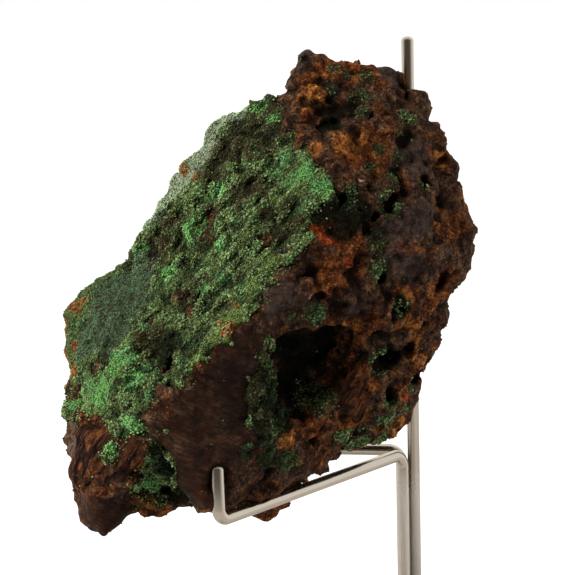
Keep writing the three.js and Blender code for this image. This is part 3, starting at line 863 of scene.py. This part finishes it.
def limonite_paint():
    """Brown iron ore: rusty and ochre patches, smooth purple-brown skins, painted shade in pits and cavities,
    and painted highlight on bumps.
    """
    paint = Paint("limonite")
    coarse = paint.strong(paint.noise(6, 5, 0.6, 1), 3.5)
    middle = paint.strong(paint.noise(1.7, 5, 0.7, 2, warp=0.3), 3.5)
    fine = paint.strong(paint.noise(0.5, 4, 0.75, 3), 3.6)
    speck = paint.strong(paint.noise(0.9, 4, 0.8, 4), 4.0)
    grain = paint.strong(paint.noise(0.9, 4, 0.65, 5, paint.drawn_out(PLATE_LINES, 6)), 3.0)
    fibre = paint.strong(paint.noise(1.1, 4, 0.65, 6, paint.drawn_out(TONGUE_LINES, 7)), 3.2)
    blend = paint.plus(paint.times(middle, 0.6), paint.times(fine, 0.4))
    common = paint.ramp(
        blend, (0.12, (0.005, 0.0035, 0.0025)), (0.4, (0.032, 0.016, 0.010)),
        (0.62, (0.078, 0.039, 0.021)), (0.88, (0.2, 0.104, 0.05)),
    )
    rusty = paint.ramp(
        blend, (0.12, (0.008, 0.003, 0.0015)), (0.38, (0.065, 0.019, 0.006)),
        (0.62, (0.16, 0.048, 0.012)), (0.9, (0.42, 0.14, 0.028)),
    )
    ochre = paint.ramp(
        blend, (0.12, (0.008, 0.004, 0.002)), (0.38, (0.13, 0.046, 0.012)),
        (0.6, (0.32, 0.11, 0.022)), (0.9, (0.65, 0.26, 0.055)),
    )
    violet = paint.ramp(
        blend, (0.15, (0.012, 0.007, 0.0055)), (0.55, (0.046, 0.028, 0.021)), (0.9, (0.09, 0.054, 0.039))
    )
    scarlet = paint.ramp(
        blend, (0.2, (0.03, 0.006, 0.003)), (0.5, (0.22, 0.035, 0.007)), (0.85, (0.55, 0.12, 0.02))
    )
    skin = paint.ramp(
        grain, (0.0, (0.009, 0.004, 0.002)), (0.6, (0.028, 0.0125, 0.006)), (1, (0.066, 0.033, 0.018))
    )
    skin = paint.mix(paint.between(coarse, 0.3, 1.0), skin, (0.02, 0.0055, 0.0025))
    skin = paint.mix(paint.times(paint.between(middle, 0.5, 0.05), 0.8), skin, (0.007, 0.004, 0.003))
    tongue = paint.ramp(
        fibre, (0.15, (0.006, 0.003, 0.002)), (0.45, (0.032, 0.013, 0.0075)),
        (0.7, (0.085, 0.03, 0.012)), (0.92, (0.22, 0.072, 0.019)),
    )
    green = paint.ramp(fine, (0.2, (0.005, 0.008, 0.004)), (0.9, (0.045, 0.072, 0.025)))
    unlit = paint.ramp(fine, (0.3, (0.0015, 0.0018, 0.001)), (1.0, (0.006, 0.01, 0.004)))

    colour = paint.mix(paint.between(coarse, 0.55, 0.95), common, rusty)
    depth = paint.add("ShaderNodeSeparateXYZ", {"Vector": paint.place}).outputs[1]
    behind = paint.between(depth, *(y * MM for y in BEHIND_COLOURS))
    broad = paint.strong(paint.noise(14, 4, 0.6, 8, warp=0.4), 3.5)
    colour = paint.mix(paint.times(paint.between(broad, 0.62, 0.9), behind), colour, violet)
    colour = paint.mix(paint.times(paint.between(broad, 0.3, 0.1), behind), colour, ochre)
    for name, over, spread in (
        ("rust", rusty, 0.9), ("purple", violet, 0.9), ("plate", skin, 0.5), ("tongue", tongue, 0.6),
        ("tan", (0.11, 0.07, 0.048), 0.8), ("ochre", ochre, 1.1),
    ):
        colour = paint.lay(colour, name, speck, over, spread)
    gloom = paint.between(paint.strong(paint.noise(2.8, 4, 0.65, 7, warp=0.4), 3.8), 0.42, 0.08)
    gloom = paint.times(gloom, paint.minus(1.0, paint.times(paint.mask("plate"), 0.45)))
    colour = paint.mix(paint.times(gloom, 0.72), colour, (0.005, 0.003, 0.002))
    for name, over, spread in (("red", scarlet, 1.2), ("pale", (0.42, 0.3, 0.2), 0.8), ("green", green, 1.6)):
        colour = paint.lay(colour, name, speck, over, spread)

    tint, crumb, height = paint.mask("tint"), paint.mask("crumb"), paint.mask("height")
    pale = paint.times(paint.times(paint.between(tint, 0.6, 1.0), crumb), 0.55)
    colour = paint.mix(pale, colour, paint.mix(0.5, rusty, ochre))
    shadow = paint.times(paint.times(paint.between(tint, 0.45, 0.1), crumb), 0.7)
    colour = paint.mix(shadow, colour, (0.006, 0.004, 0.003))
    # Painted highlight and painted shade by height above the worn surface: raised bumps take a paler rust
    # tone and pits go nearly black.
    colour = paint.mix(paint.times(paint.between(height, 0.3, 1.3), 0.35), colour, rusty)
    colour = paint.mix(paint.times(paint.between(height, -0.35, -2.0), 0.88), colour, (0.003, 0.0025, 0.002))
    # Painted shade: darker on the plate beside the cavity and near the gap.
    colour = paint.mix(paint.times(paint.mask("shade"), 0.55), colour, (0.004, 0.0025, 0.002))
    # Painted shade: the dark spots go nearly black in the cavity, the gap, the vugs and the slits.
    dark = paint.times(paint.ragged(paint.mask("dark"), speck, 0.6, 0.4), 0.93)
    paint.shade("Base Color", paint.mix(dark, colour, unlit))

    sheen = paint.math("MAXIMUM", paint.times(paint.mask("purple"), 0.35), paint.mask("plate"))
    paint.shade("Roughness", paint.minus(0.8, paint.times(sheen, 0.3)))
    paint.shade("Specular IOR Level", 0.06)
    rough = paint.minus(1.0, paint.times(sheen, 0.8), clamp=True)
    lines = paint.plus(paint.times(grain, paint.mask("plate")), paint.times(fibre, paint.mask("tongue")))
    normal = paint.bump(paint.times(middle, rough), 0.45, paint.bump(lines, 0.4))
    paint.shade("Normal", paint.bump(paint.times(fine, rough), 0.25, normal))
    return paint.material


def grain_shades(paint, colour, middle):
    """The grains' colours: clusters of dark earthy and light ones, painted shade in the crevices and painted
    highlight on the crests.
    """
    clump = paint.strong(paint.noise(0.5, 3, 0.6, 13, paint.drawn_out(ROW_LINES, 2.2)), 3.0)
    clump = paint.plus(paint.times(clump, 0.76), paint.times(paint.mask("tint"), 0.24))
    brown = paint.ragged(paint.mask("brown"), middle, 1.0, 0.3)
    share = paint.plus(0.39, paint.times(brown, 0.24))
    share = paint.plus(share, paint.times(paint.minus(middle, 0.5), 0.2))
    plain = paint.plus(paint.mask("yellow"), paint.mask("grey_and_painted_highlight"))
    for mask, less in ((paint.mask("bright"), 0.16), (paint.mask("velvet"), 0.08), (plain, 0.12)):
        share = paint.minus(share, paint.times(mask, less))
    light = paint.between(paint.minus(clump, share), 0.12, 0.4)
    light = paint.times(light, paint.minus(1.0, paint.times(paint.mask("velvet"), 0.6)))
    colour = paint.mix(light, colour, paint.mix(0.6, colour, (0.26, 0.38, 0.18)))
    dark = paint.between(paint.minus(share, clump), -0.03, 0.03)
    colour = paint.mix(dark, colour, paint.mix(middle, (0.010, 0.006, 0.004), (0.052, 0.025, 0.015)))
    # Painted shade: nearly black in the crevices of the fine relief.
    painted_crevice_shade = paint.times(paint.between(paint.mask("ridge"), 0.1, -0.65), 0.85)
    colour = paint.mix(painted_crevice_shade, colour, (0.007, 0.007, 0.004))
    # Painted highlight: lighter green on the crests of the fine relief.
    painted_crest_highlight = paint.times(paint.between(paint.mask("ridge"), 0.2, 1.1), 0.3)
    return paint.mix(painted_crest_highlight, colour, paint.mix(0.5, colour, (0.17, 0.3, 0.11)))


def conichalcite_paint(name, grainy):
    """Green mineral, brighter and yellower in places: grains, or the skin under them with its brown gaps."""
    paint = Paint(name)
    coarse = paint.strong(paint.noise(4, 4, 0.6, 10), 3.5)
    middle = paint.strong(paint.noise(1.8, 5, 0.7, 11, warp=0.3), 3.5)
    colour = paint.ramp(
        middle, (0.05, (0.03, 0.046, 0.014)), (0.5, (0.078, 0.125, 0.037)), (1, (0.145, 0.215, 0.064))
    )
    deeper = paint.mix(middle, (0.03, 0.075, 0.025), (0.06, 0.18, 0.055))
    colour = paint.mix(paint.between(coarse, 0.6, 1.0), colour, deeper)
    bright = paint.mix(coarse, (0.055, 0.21, 0.06), (0.11, 0.3, 0.06))
    velvet = paint.ramp(
        middle, (0.1, (0.03, 0.038, 0.024)), (0.55, (0.055, 0.09, 0.045)), (1, (0.07, 0.15, 0.07))
    )
    # The grey patches are partly a painted highlight along the top-left edge.
    for mask, over, spread, edge in (
        ("bright", bright, 0.8, 0.3), ("yellow", (0.1, 0.155, 0.032), 0.9, 0.3),
        ("grey_and_painted_highlight", (0.25, 0.3, 0.19), 0.6, 0.3), ("velvet", velvet, 0.6, 0.3),
        ("rust", (0.24, 0.09, 0.02), 1.0, 0.2),
    ):
        colour = paint.lay(colour, mask, middle, over, spread, edge)
    if grainy:
        colour = grain_shades(paint, colour, middle)
    else:
        fine = paint.strong(paint.noise(0.6, 3, 0.7, 12), 3.0)
        gaps = paint.times(paint.between(fine, 0.75, 0.35), 0.9)
        gaps = paint.math("MAXIMUM", gaps, paint.times(paint.mask("brown"), 0.85))
        colour = paint.mix(gaps, colour, (0.014, 0.009, 0.005))
        paint.shade("Normal", paint.bump(fine, 0.4))
    # Painted shade: the crust goes nearly black in the cavity, the gap and other hollows.
    paint.shade("Base Color", paint.mix(paint.times(paint.mask("painted_hollow_shade"), 0.8), colour, (0.004, 0.006, 0.003)))
    paint.shade("Roughness", 0.85)
    paint.shade("Specular IOR Level", 0.08)
    return paint.material


def steel_paint(name, turned=False):
    """Satin steel: rods with drawn lines that are duller below the arms, or a dull base with turned rings."""
    paint = Paint(name)
    x, y, z = paint.add("ShaderNodeSeparateXYZ", {"Vector": paint.place}).outputs
    if turned:
        lines_place = {"X": paint.math("SQRT", paint.plus(paint.times(x, x), paint.times(y, y)))}
        dull, metallic = BRUSHED_ROUGHNESS, 1.0 - BRUSHED_DULLING
    else:
        lines_place = {"X": x, "Y": y, "Z": paint.times(z, 0.02)}
        brushed = paint.between(z, (ARM_HEIGHT - 2) * MM, (ARM_HEIGHT - 12) * MM)
        dull = paint.times(brushed, BRUSHED_ROUGHNESS)
        metallic = paint.minus(1.0, paint.times(brushed, BRUSHED_DULLING))
    lines = paint.noise(0.25, 2, 0.6, 22, paint.add("ShaderNodeCombineXYZ", lines_place).outputs[0])
    blotches = paint.noise(9, 3, 0.5, 21)
    paint.shade("Base Color", paint.mix(blotches, (0.50, 0.46, 0.41), (0.58, 0.54, 0.485)))
    paint.shade("Roughness", paint.plus(paint.plus(0.16, paint.times(lines, 0.1)), dull))
    paint.shade("Metallic", metallic)
    paint.shade("Normal", paint.bump(lines, 0.01))
    return paint.material


# ---- Camera, light and floor ----

CAMERA_DISTANCE = 395.0        # from the stone's own origin
CAMERA_TILT = math.radians(10.2)
CAMERA_ROLL = math.radians(1.6)
LENS_TO_SENSOR = 1720 / 575    # focal length as a share of the picture's side
SENSOR = 36.0
FLOOR_REACH = 6000.0
LIGHTS = [                     # name, place from the stone's origin, size and power
    ("key", (-420, -330, 520), 380, 9.0), ("left_fill", (-600, -120, 60), 500, 3.0),
    ("right_rim", (560, 120, 60), 400, 3.0),
]


def add_camera():
    """The camera, a little above the stone and turned a little about its own line of sight."""
    ahead = np.array([0, math.cos(CAMERA_TILT), -math.sin(CAMERA_TILT)])
    level = np.array([1.0, 0, 0])
    upright = np.cross(level, ahead)
    right = math.cos(CAMERA_ROLL) * level - math.sin(CAMERA_ROLL) * upright
    up = math.sin(CAMERA_ROLL) * level + math.cos(CAMERA_ROLL) * upright
    place = (STONE_ORIGIN - ahead * CAMERA_DISTANCE) * MM
    data = bpy.data.cameras.new("camera")
    data.sensor_width = SENSOR
    data.lens = LENS_TO_SENSOR * SENSOR
    data.clip_start = 0.01
    camera = bpy.data.objects.new("camera", data)
    turn = Matrix([right, up, -ahead]).transposed()
    camera.matrix_world = Matrix.Translation(Vector(place)) @ turn.to_4x4()
    bpy.context.scene.collection.objects.link(camera)
    bpy.context.scene.camera = camera


def add_light(name, place, size, power):
    """A soft square lamp that faces the stone."""
    data = bpy.data.lights.new(name, "AREA")
    data.size = size * MM
    data.energy = power
    lamp = bpy.data.objects.new(name, data)
    place = Vector(np.array(place) + STONE_ORIGIN) * MM
    lamp.visible_glossy = False
    lamp.location = place
    lamp.rotation_euler = (Vector(STONE_ORIGIN * MM) - place).to_track_quat("-Z", "Y").to_euler()
    bpy.context.scene.collection.objects.link(lamp)


def add_floor():
    """A plain white floor, brightened to the camera and left out of the steel's reflections."""
    corners = [(-FLOOR_REACH, -FLOOR_REACH, 0), (FLOOR_REACH, -FLOOR_REACH, 0)]
    corners += [(FLOOR_REACH, FLOOR_REACH, 0), (-FLOOR_REACH, FLOOR_REACH, 0)]
    floor = new_object("floor", corners, np.array([(0, 1, 2, 3)]))
    paint = Paint("white_floor")
    paint.shade("Base Color", (0.8, 0.8, 0.8))
    paint.shade("Roughness", 0.9)
    ray = paint.add("ShaderNodeLightPath").outputs
    glow = paint.add("ShaderNodeEmission", {"Color": (1, 1, 1), "Strength": 1.3}).outputs[0]
    clear = paint.add("ShaderNodeBsdfTransparent").outputs[0]
    lit = {0: paint.times(ray["Is Camera Ray"], 0.75), 1: paint.shader.outputs[0], 2: glow}
    lit = paint.add("ShaderNodeMixShader", lit).outputs[0]
    seen = paint.add("ShaderNodeMixShader", {0: ray["Is Glossy Ray"], 1: lit, 2: clear}).outputs[0]
    paint.put(paint.tree.nodes["Material Output"].inputs["Surface"], seen)
    floor.data.materials.append(paint.material)


def add_world():
    """White all round to the camera. For light and in the steel it is dim on the camera's side."""
    world = bpy.data.worlds.new("studio")
    bpy.context.scene.world = world
    world.use_nodes = True
    sky = Nodes(world.node_tree)
    way = sky.add("ShaderNodeTexCoord").outputs["Generated"]

    def shade(facing, low, high, dim, light):
        """A colour that goes from dim to light as a direction turns towards facing."""
        turned = sky.add("ShaderNodeVectorMath", {0: way, 1: facing}, operation="DOT_PRODUCT")
        return sky.mix(sky.between(turned.outputs["Value"], low, high), dim, light)

    ray = sky.add("ShaderNodeLightPath").outputs
    diffuse = shade((0, 1, 0), -0.9, 0.0, (0.10, 0.085, 0.075), (0.95, 0.93, 0.9))
    mirrored = shade((0.12, 0.99, 0), -0.85, 0.25, (0.1, 0.083, 0.068), (1.1, 1.06, 0.98))
    mirrored = shade((0, 0, -1), 0.25, 0.36, mirrored, (0.78, 0.72, 0.64))
    seen = sky.mix(ray["Is Glossy Ray"], diffuse, mirrored)
    seen = sky.mix(ray["Is Camera Ray"], seen, (1.0, 1.0, 1.0))
    sky.put(sky.tree.nodes["Background"].inputs["Color"], seen)
    bpy.context.scene.view_settings.view_transform = "Standard"


# ---- Building ----

LIMONITE_MASKS = {             # spots of colour on the stone, and of painted shade: x, y, z, radius
    "ochre": [
        (6, 0, 46, 5), (9, 0, 43, 2.4), (13, -10.5, 34, 2.8), (17, -9, 34.5, 2), (7, -9, 32.5, 2.2),
        (30, -1, -16, 4), (27, -12, -1.5, 2), (34.6, -7, 14.5, 2), (36.4, 6.4, 30.4, 3.4),
        (36.2, 8, 33.4, 3), (35.2, 3.2, 28, 2.4), (-0.4, -20, -31, 2.6), (22, -13, -14, 3),
        (30.4, -2, -12.8, 4), (28.6, -7.7, -8.1, 2.8), (32.4, -7, -1.2, 2.2), (34.9, -1.3, -4.8, 3.2),
        (31.7, 4.4, -19.4, 2.8), (34.5, -7.7, 13, 1.8), (25.6, 4, -34.4, 3), (29, -3.6, -12, 3.4),
        (30.6, -1.6, -16.4, 4), (20.5, -2.3, -33.7, 2.4),
    ],
    "rust": [
        (5.4, 4, 47.4, 4), (13.8, -18.3, 11.2, 5), (10.4, -21.2, 7.4, 5), (14.8, -19.3, 6.9, 4),
        (9.2, -21.9, 4.2, 4), (26.8, -11.7, 0, 4), (33, -6, -2, 4), (34, -3, -4, 5), (20, -9, 32, 6),
        (13.5, 8.8, 50, 6), (34.7, -3, -3, 6), (13.3, -12, -28.7, 6), (-3.6, -7.3, -50, 4),
        (-32, -20, -47, 6), (22, 9, 46, 4), (39.6, -1.8, 13.6, 4), (14, -16, -8, 4), (15, -13, -20, 6),
        (28, -1, -24, 6), (-51, 2, -4, 5), (-51.5, 0, -13, 5), (-51, -2, -21, 5), (-6, -24, -44, 6),
    ],
    "red": [
        (6.3, -20.3, 16.6, 1.9), (8.4, -20.1, 14.9, 1.7), (9, -19.4, 17, 1.6), (10.6, -19.6, 13.7, 1.7),
        (27.4, 1.4, -26.5, 2.7), (-17.9, -19.3, 1.4, 1.4), (13, -19, 9, 1.8),
    ],
    # painted shade on the plate beside the cavity and near the gap
    "shade": [(-12, -30, -8, 5), (-11.5, -29, -14, 6), (-11, -28, -22, 5), (-25, -25, -34, 4)],
    "purple": [
        (4.3, 8, 51.6, 3.4), (7, 10, 52.4, 3), (29.4, -4.6, 30.2, 6), (25.2, -12.8, 15.6, 5),
        (31, -9.3, 17.2, 5), (22.8, -14, 8, 4), (-1.7, -26.8, 2.1, 5), (24, 10, 46, 4), (-2, -21, 11, 3),
        (28, -11, 6, 5), (16, -19, -2, 3),
    ],
    "plate": [
        (-17, -29, -26, 15), (-20, -27, -37, 9), (-10, -28, -14, 8), (-43, -21, -47, 8), (-4, -29, -7, 5),
        (-14, -30.6, -9, 6), (-11, -30, -5, 4),
    ],
    "tongue": [
        (-44, -23, -31, 9), (-37, -26, -31, 6), (-47, -18, -37, 7), (-35, -27, -34, 5), (8, -14, -37, 6),
        (12, -12, -21, 4), (12, -14, -26, 4), (14.4, -12, -20, 4), (15, -11, -27, 3),
    ],
    "tan": [(-50, -14, -33, 4), (-50, -12, -27, 3), (-49, -15, -39, 3.5), (-3, -24, 9.5, 1.6)],
    # painted shade in the cavity, the gap, the vugs and the slits
    "dark": [
        (3, -8, -13, 8), (5, -5, -11, 6.5), (0, -14, -10, 6), (1, -10, -21, 6), (-26, -22, -35, 4.5),
        (-25, -21, -42, 4.5), (8, -19.5, 20, 4), (12.5, -18.5, 16.5, 4), (-23.6, -23, -38, 4),
        (14, -16, 19.5, 5.6), (12, -18.5, 17.6, 4.6), (11, -16.5, 21, 4), (21.5, -9.5, -16, 3.5),
        (25.5, -12, -3, 2.6), (9.4, -3, 41, 3), (10.2, -6, 38, 3.4), (12.6, -4.4, 40.4, 2.4),
        (23.6, -10, 21, 2), (-24, -21, -10, 4), (-18, -18, 1, 3),
    ],
    "pale": [
        (16.6, -12.7, 25.4, 0.9), (-1, -18.8, -36.1, 0.9), (20.7, -10.6, -19.9, 0.6), (4.5, -22.5, 2.5, 0.8),
    ],
    "green": [
        (28.5, 1, 38.4, 2.4), (28.4, -3.4, 34.6, 2.2), (25, -9.8, 26, 2.4), (31, -7, 23.8, 1.4),
        (23, -12.4, 20, 3), (14, -16.7, 21, 2), (20.4, -15.5, 6, 2.6), (25, -12.3, -3, 2.4),
        (21.5, -10.4, -16, 3.6), (28.8, 2, -23.8, 2.4), (22.8, -6.8, -25.6, 2.4), (5.5, -10.2, -24.2, 5),
        (-1, -18.8, -36, 3), (12.5, 6.5, 49, 2), (14.5, 7, 48.4, 2), (19.3, 7.4, 47, 2), (18, 2, 43.4, 2.6),
        (17, -3, 40, 2.4), (27.2, -4.5, 34.7, 2), (26, -7, 30.5, 2.2), (25.2, -8.6, 27.3, 2.2),
        (21, -9, 32, 1.6), (19.4, -10.5, 28.8, 1.8), (14.3, -14.6, 24, 1.8), (22, -12.4, 22.3, 2),
        (11.4, 2, 45.4, 2), (0, -22, -2, 2), (-33, -16, -44.5, 3.4), (-29.8, -18, -44.5, 2.4),
        (19, -13.5, 12, 3), (6, -22, -2, 2.6),
    ],
}
FACE_MASKS = {                 # spots of colour on the crusts, and of painted shade and painted highlight: x, y, z, radius
    "bright": [
        (8, -15.5, 24.6, 2.8), (4, -12, 28, 3), (0, -13, 26, 2.4), (0, -6, 29.6, 2.4), (-2.4, -6, 27.6, 2.2),
        (-36, -19, -13.5, 4.5), (-39, -18, -18, 4.5), (-43, -15, -21, 4.5), (-47, -10, -23, 4),
        (-33, -23, -15, 4), (-34, -27, -25, 3.4), (-38, -27, -29, 3), (-19, -18, 4, 2.4),
        (-14, -12, 12, 2.4), (-32.9, 6, 7.3, 3), (-26.6, -4.5, 4.2, 3), (-14.7, 0.2, 22.9, 3),
        (-20.6, -2, 14, 4), (-4.7, 9.4, 40, 3), (-1.8, 3.6, 38.2, 2), (-32.6, -17, -41, 2.6),
    ],
    "yellow": [
        (-3.6, -22.3, 9, 2.6), (-7, -25, 4, 3), (-11.4, -27, -1, 3), (-15, -29, -5, 3), (-19, -30, -11, 3),
        (-46, -13, -22, 4), (2, -12, 22, 3), (-24, -31, -16, 3), (-44, -18, -25, 3),
    ],
    # pale grey-green: along the top-left edge a painted highlight, elsewhere small grey spots of the crust's
    # own
    "grey_and_painted_highlight": [
        (-12, 13, 41, 5), (-16, 14, 38, 5), (-20, 12, 32, 6), (-24, 12.5, 24, 6), (-29, 12, 17, 5),
        (-46.7, -5.3, -11, 1.5), (-45, -8.3, -12, 1.3), (-47.7, -5.5, -14.4, 1.5),
    ],
    "velvet": [(-38, -3, -1.3, 9), (-40, -10, -7, 7), (-44, -6, -10, 6), (-33, 2, 4, 6)],
    "brown": [
        (-10, 6.3, 33.6, 7), (-14.7, 4.7, 28, 7), (-4.2, 1.5, 34, 7), (-26.7, 3, 12.5, 5), (-7, -8, 22, 6),
        (2, 1, 40, 6), (-26, -24, -12, 4), (-1.5, -18, 14, 3), (2.4, -19, 17, 3), (-17, -4, 15, 6),
        (-5, 8, 42, 6), (-20, -14, 2, 5), (-30, -18, -8, 5), (-28.8, 3, 9.6, 5), (-3.4, -14.6, 18.9, 2.6),
        (1, -15.5, 21.1, 2), (14, 2, 42, 12), (25, -6, 30, 10), (18, -15, 16, 8), (-8, -28, -10, 4),
        (-8, -27, -18, 4), (-7.5, -25, -26, 4), (-6, -27, -15, 4), (-6, -26, -21, 4),
    ],
    "rust": [
        (-51.5, 4, -2, 3), (-53, 2, -8, 3.6), (-53, 0, -14, 3.6), (-52.5, -3, -20, 2.6),
        (-12.5, -28.8, -3.7, 2.2), (-15, -29, -7, 1.8), (-3, -10, 20, 1.2), (-21, 7, 26, 2),
        (-47, 1, -2, 1.6), (-24, 11, 27, 2), (-48.8, 1, -3.5, 2), (-48.8, -3, -12, 1.6), (-49.6, -5, -17, 2),
        (-46.4, 4.7, -2, 1.6), (-43.5, 0.5, -2.2, 1.1), (-14.3, -26.6, -3, 1.4), (-11.4, -26.1, 1.2, 1),
    ],
    # painted shade: the crust darkened in the cavity, the gap and other hollows
    "painted_hollow_shade": [
        (-3, -22, -18, 6), (-1, -19, -24, 7), (-7, -23, -34, 7), (-26.4, -22, -33, 3.2),
        (-26, -21.5, -38, 3.2), (-25.4, -20, -43, 3.2), (-28.6, -24, -31.6, 3.4), (-28, -22, -35.5, 3),
        (13, -17, 20, 4), (-24, -20, -9, 5), (-5, -22, -40, 6), (0, -15, -30, 6), (-5.4, -26, -15, 3),
        (-5, -25, -21, 3),
    ],
}

CRUSTS = [                     # node, triangles in its skin, grains on it
    ("conichalcite_face_crust", 110000, 24000), ("conichalcite_gap_crust", 20000, 2400),
    ("conichalcite_cavity_crust", 24000, 2400), ("conichalcite_edge_crust", 14000, 2000),
]
VELVET_COUNT = 14000
SPECK_COUNT = 6000
CRUMB_COUNT = 11000
CRUMBLY = [(14, -5, 34, 18), (24, -8, 10, 16), (26, -4, -12, 16), (14, -14, -26, 12)]
BLOTCHES = Noise(31)


def paint_masks(piece, masks):
    """Stores each mask's spots at the piece's corners, with their edges moved about by soft blotches."""
    corners = corners_of(piece)
    wobble = BLOTCHES(corners, 3) * 0.3
    for name, spots in masks.items():
        set_mask(piece, name, patch(corners, spots, wobble))


def finish_piece(piece, material):
    """Gives a piece its material and ties it to the row's body."""
    piece.data.materials.append(material)
    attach(piece, "root")


def build_crusts(lattice, packed, worn, field, face, grain_paint):
    """The four crusts and the grains on them. Gives how fully they cover each place."""
    skin_paint = conichalcite_paint("conichalcite", False)
    covered = face
    for index, (node, triangles, grain_count) in enumerate(CRUSTS):
        if index:
            cover, ridges, body = small_crust(lattice, packed, worn, field, node, 31 + 10 * index)
            covered = np.maximum(covered, cover)
        else:
            cover = face
            ridges, body = face_crust(lattice, worn, field, cover)
        skin = field_piece(lattice, node.replace("crust", "skin"), body, triangles, FEWEST_CRUST_FACES)
        corners = corners_of(skin)
        paint_masks(skin, FACE_MASKS)
        set_mask(skin, "ridge", lattice.sample(ridges, corners))
        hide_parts(node)
        finish_piece(skin, skin_paint)
        outer = smoothstep(lattice.sample(worn, corners), -1.6, -1.0)
        outer *= smoothstep(lattice.sample(cover, corners), 0.72, 0.86)
        velvet = patch(corners, CRUST_SMOOTH)
        weight = outer * (1 - 0.6 * velvet)
        # name, weight, count, spacing, seed, smallest and largest radius
        batches = [(node.replace("crust", "grains"), weight, grain_count, 0.3, 70 + index, 0.14, 0.38)]
        if not index:
            weight = outer * (0.1 + velvet)
            batches.append(("conichalcite_velvet_grains", weight, VELVET_COUNT, 0.24, 75, 0.09, 0.24))
        for name, weight, count, spacing, seed, smallest, largest in batches:
            places, normals = scatter(skin, weight, count, spacing, seed)
            piece = grains(name, places, normals, smallest, largest, seed + 20, 1.5)
            paint_masks(piece, FACE_MASKS)
            set_mask(piece, "ridge", lattice.sample(ridges, corners_of(piece)))
            finish_piece(piece, grain_paint)
    return covered


def build_mineral():
    """The stone with its crusts, stray green specks and crumbs."""
    low, high = (np.array(corner) / MM - STONE_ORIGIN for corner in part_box("limonite_matrix"))
    lattice = Lattice(low - MARGIN, high + MARGIN)
    packed = lattice.distance_to("limonite_matrix")
    face = face_cover(lattice, packed)
    worn, field = stone_field(lattice, packed, face)
    grain_paint = conichalcite_paint("conichalcite_grains", True)
    covered = build_crusts(lattice, packed, worn, field, face, grain_paint)

    fringe = smoothstep(covered, 0.02, 0.5) * smoothstep(covered, 0.98, 0.6)
    under = smoothstep(covered, 0.8, 1.0)
    field = field * (1 - under) + np.maximum(field, worn + HIDDEN_STONE) * under
    stone = field_piece(lattice, "limonite_stone", field, STONE_TRIANGLES, FEWEST_STONE_FACES)
    corners = corners_of(stone)
    height = lattice.sample(worn, corners)
    paint_masks(stone, LIMONITE_MASKS)
    set_mask(stone, "height", height)
    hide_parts("limonite_matrix")
    stone_paint = limonite_paint()
    finish_piece(stone, stone_paint)

    calm = patch(corners, CALM)
    weight = patch(corners, LIMONITE_MASKS["green"]) * 0.6 + lattice.sample(fringe, corners) * 0.3
    weight *= smoothstep(height, -2.5, -1.0) * (1 - calm)
    weight *= 1 - patch(corners, LIMONITE_MASKS["plate"])
    places, normals = scatter(stone, weight + 0.001, SPECK_COUNT, 0.3, 79)
    specks = grains("conichalcite_specks", places, normals, 0.1, 0.3, 99, 1.8)
    paint_masks(specks, FACE_MASKS)
    finish_piece(specks, grain_paint)

    weight = 0.2 + patch(corners, CRUMBLY) + patch(corners, LIMONITE_MASKS["ochre"])
    weight *= smoothstep(height, -2.0, -0.6) * (1 - lattice.sample(under, corners))
    weight *= (1 - 0.98 * calm) * (1 - 0.95 * patch(corners, STREAKED))
    weight *= 1 - 0.8 * patch(corners, LIMONITE_MASKS["purple"])
    places, normals = scatter(stone, weight, CRUMB_COUNT, 0.5, 80)
    crumbs = grains("limonite_crumbs", places, normals, 0.12, 0.34, 101, 1.6, smooth=False, lift=0.1)
    paint_masks(crumbs, LIMONITE_MASKS)
    set_mask(crumbs, "crumb", 1)
    set_mask(crumbs, "height", lattice.sample(worn, corners_of(crumbs)))
    finish_piece(crumbs, stone_paint)


def build_stand():
    """The post, the two arms and the base."""
    low, high = (np.array(corner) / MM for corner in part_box("stand_post"))
    x, y, _ = (low + high) / 2
    rods = [
        rod("stand_post_rod", np.array([(x, y, low[2]), (x, y, high[2])]), "stand_post"),
        rod("front_arm_rod", arm_path("stand_front_arm", -1), "stand_front_arm"),
        rod("back_arm_rod", arm_path("stand_back_arm", 1), "stand_back_arm"),
    ]
    rod_paint = steel_paint("satin_steel")
    for piece in rods:
        finish_piece(piece, rod_paint)
    finish_piece(base_disc(), steel_paint("turned_steel", True))


build_mineral()
build_stand()
add_camera()
add_world()
add_floor()
for light in LIGHTS:
    add_light(*light)
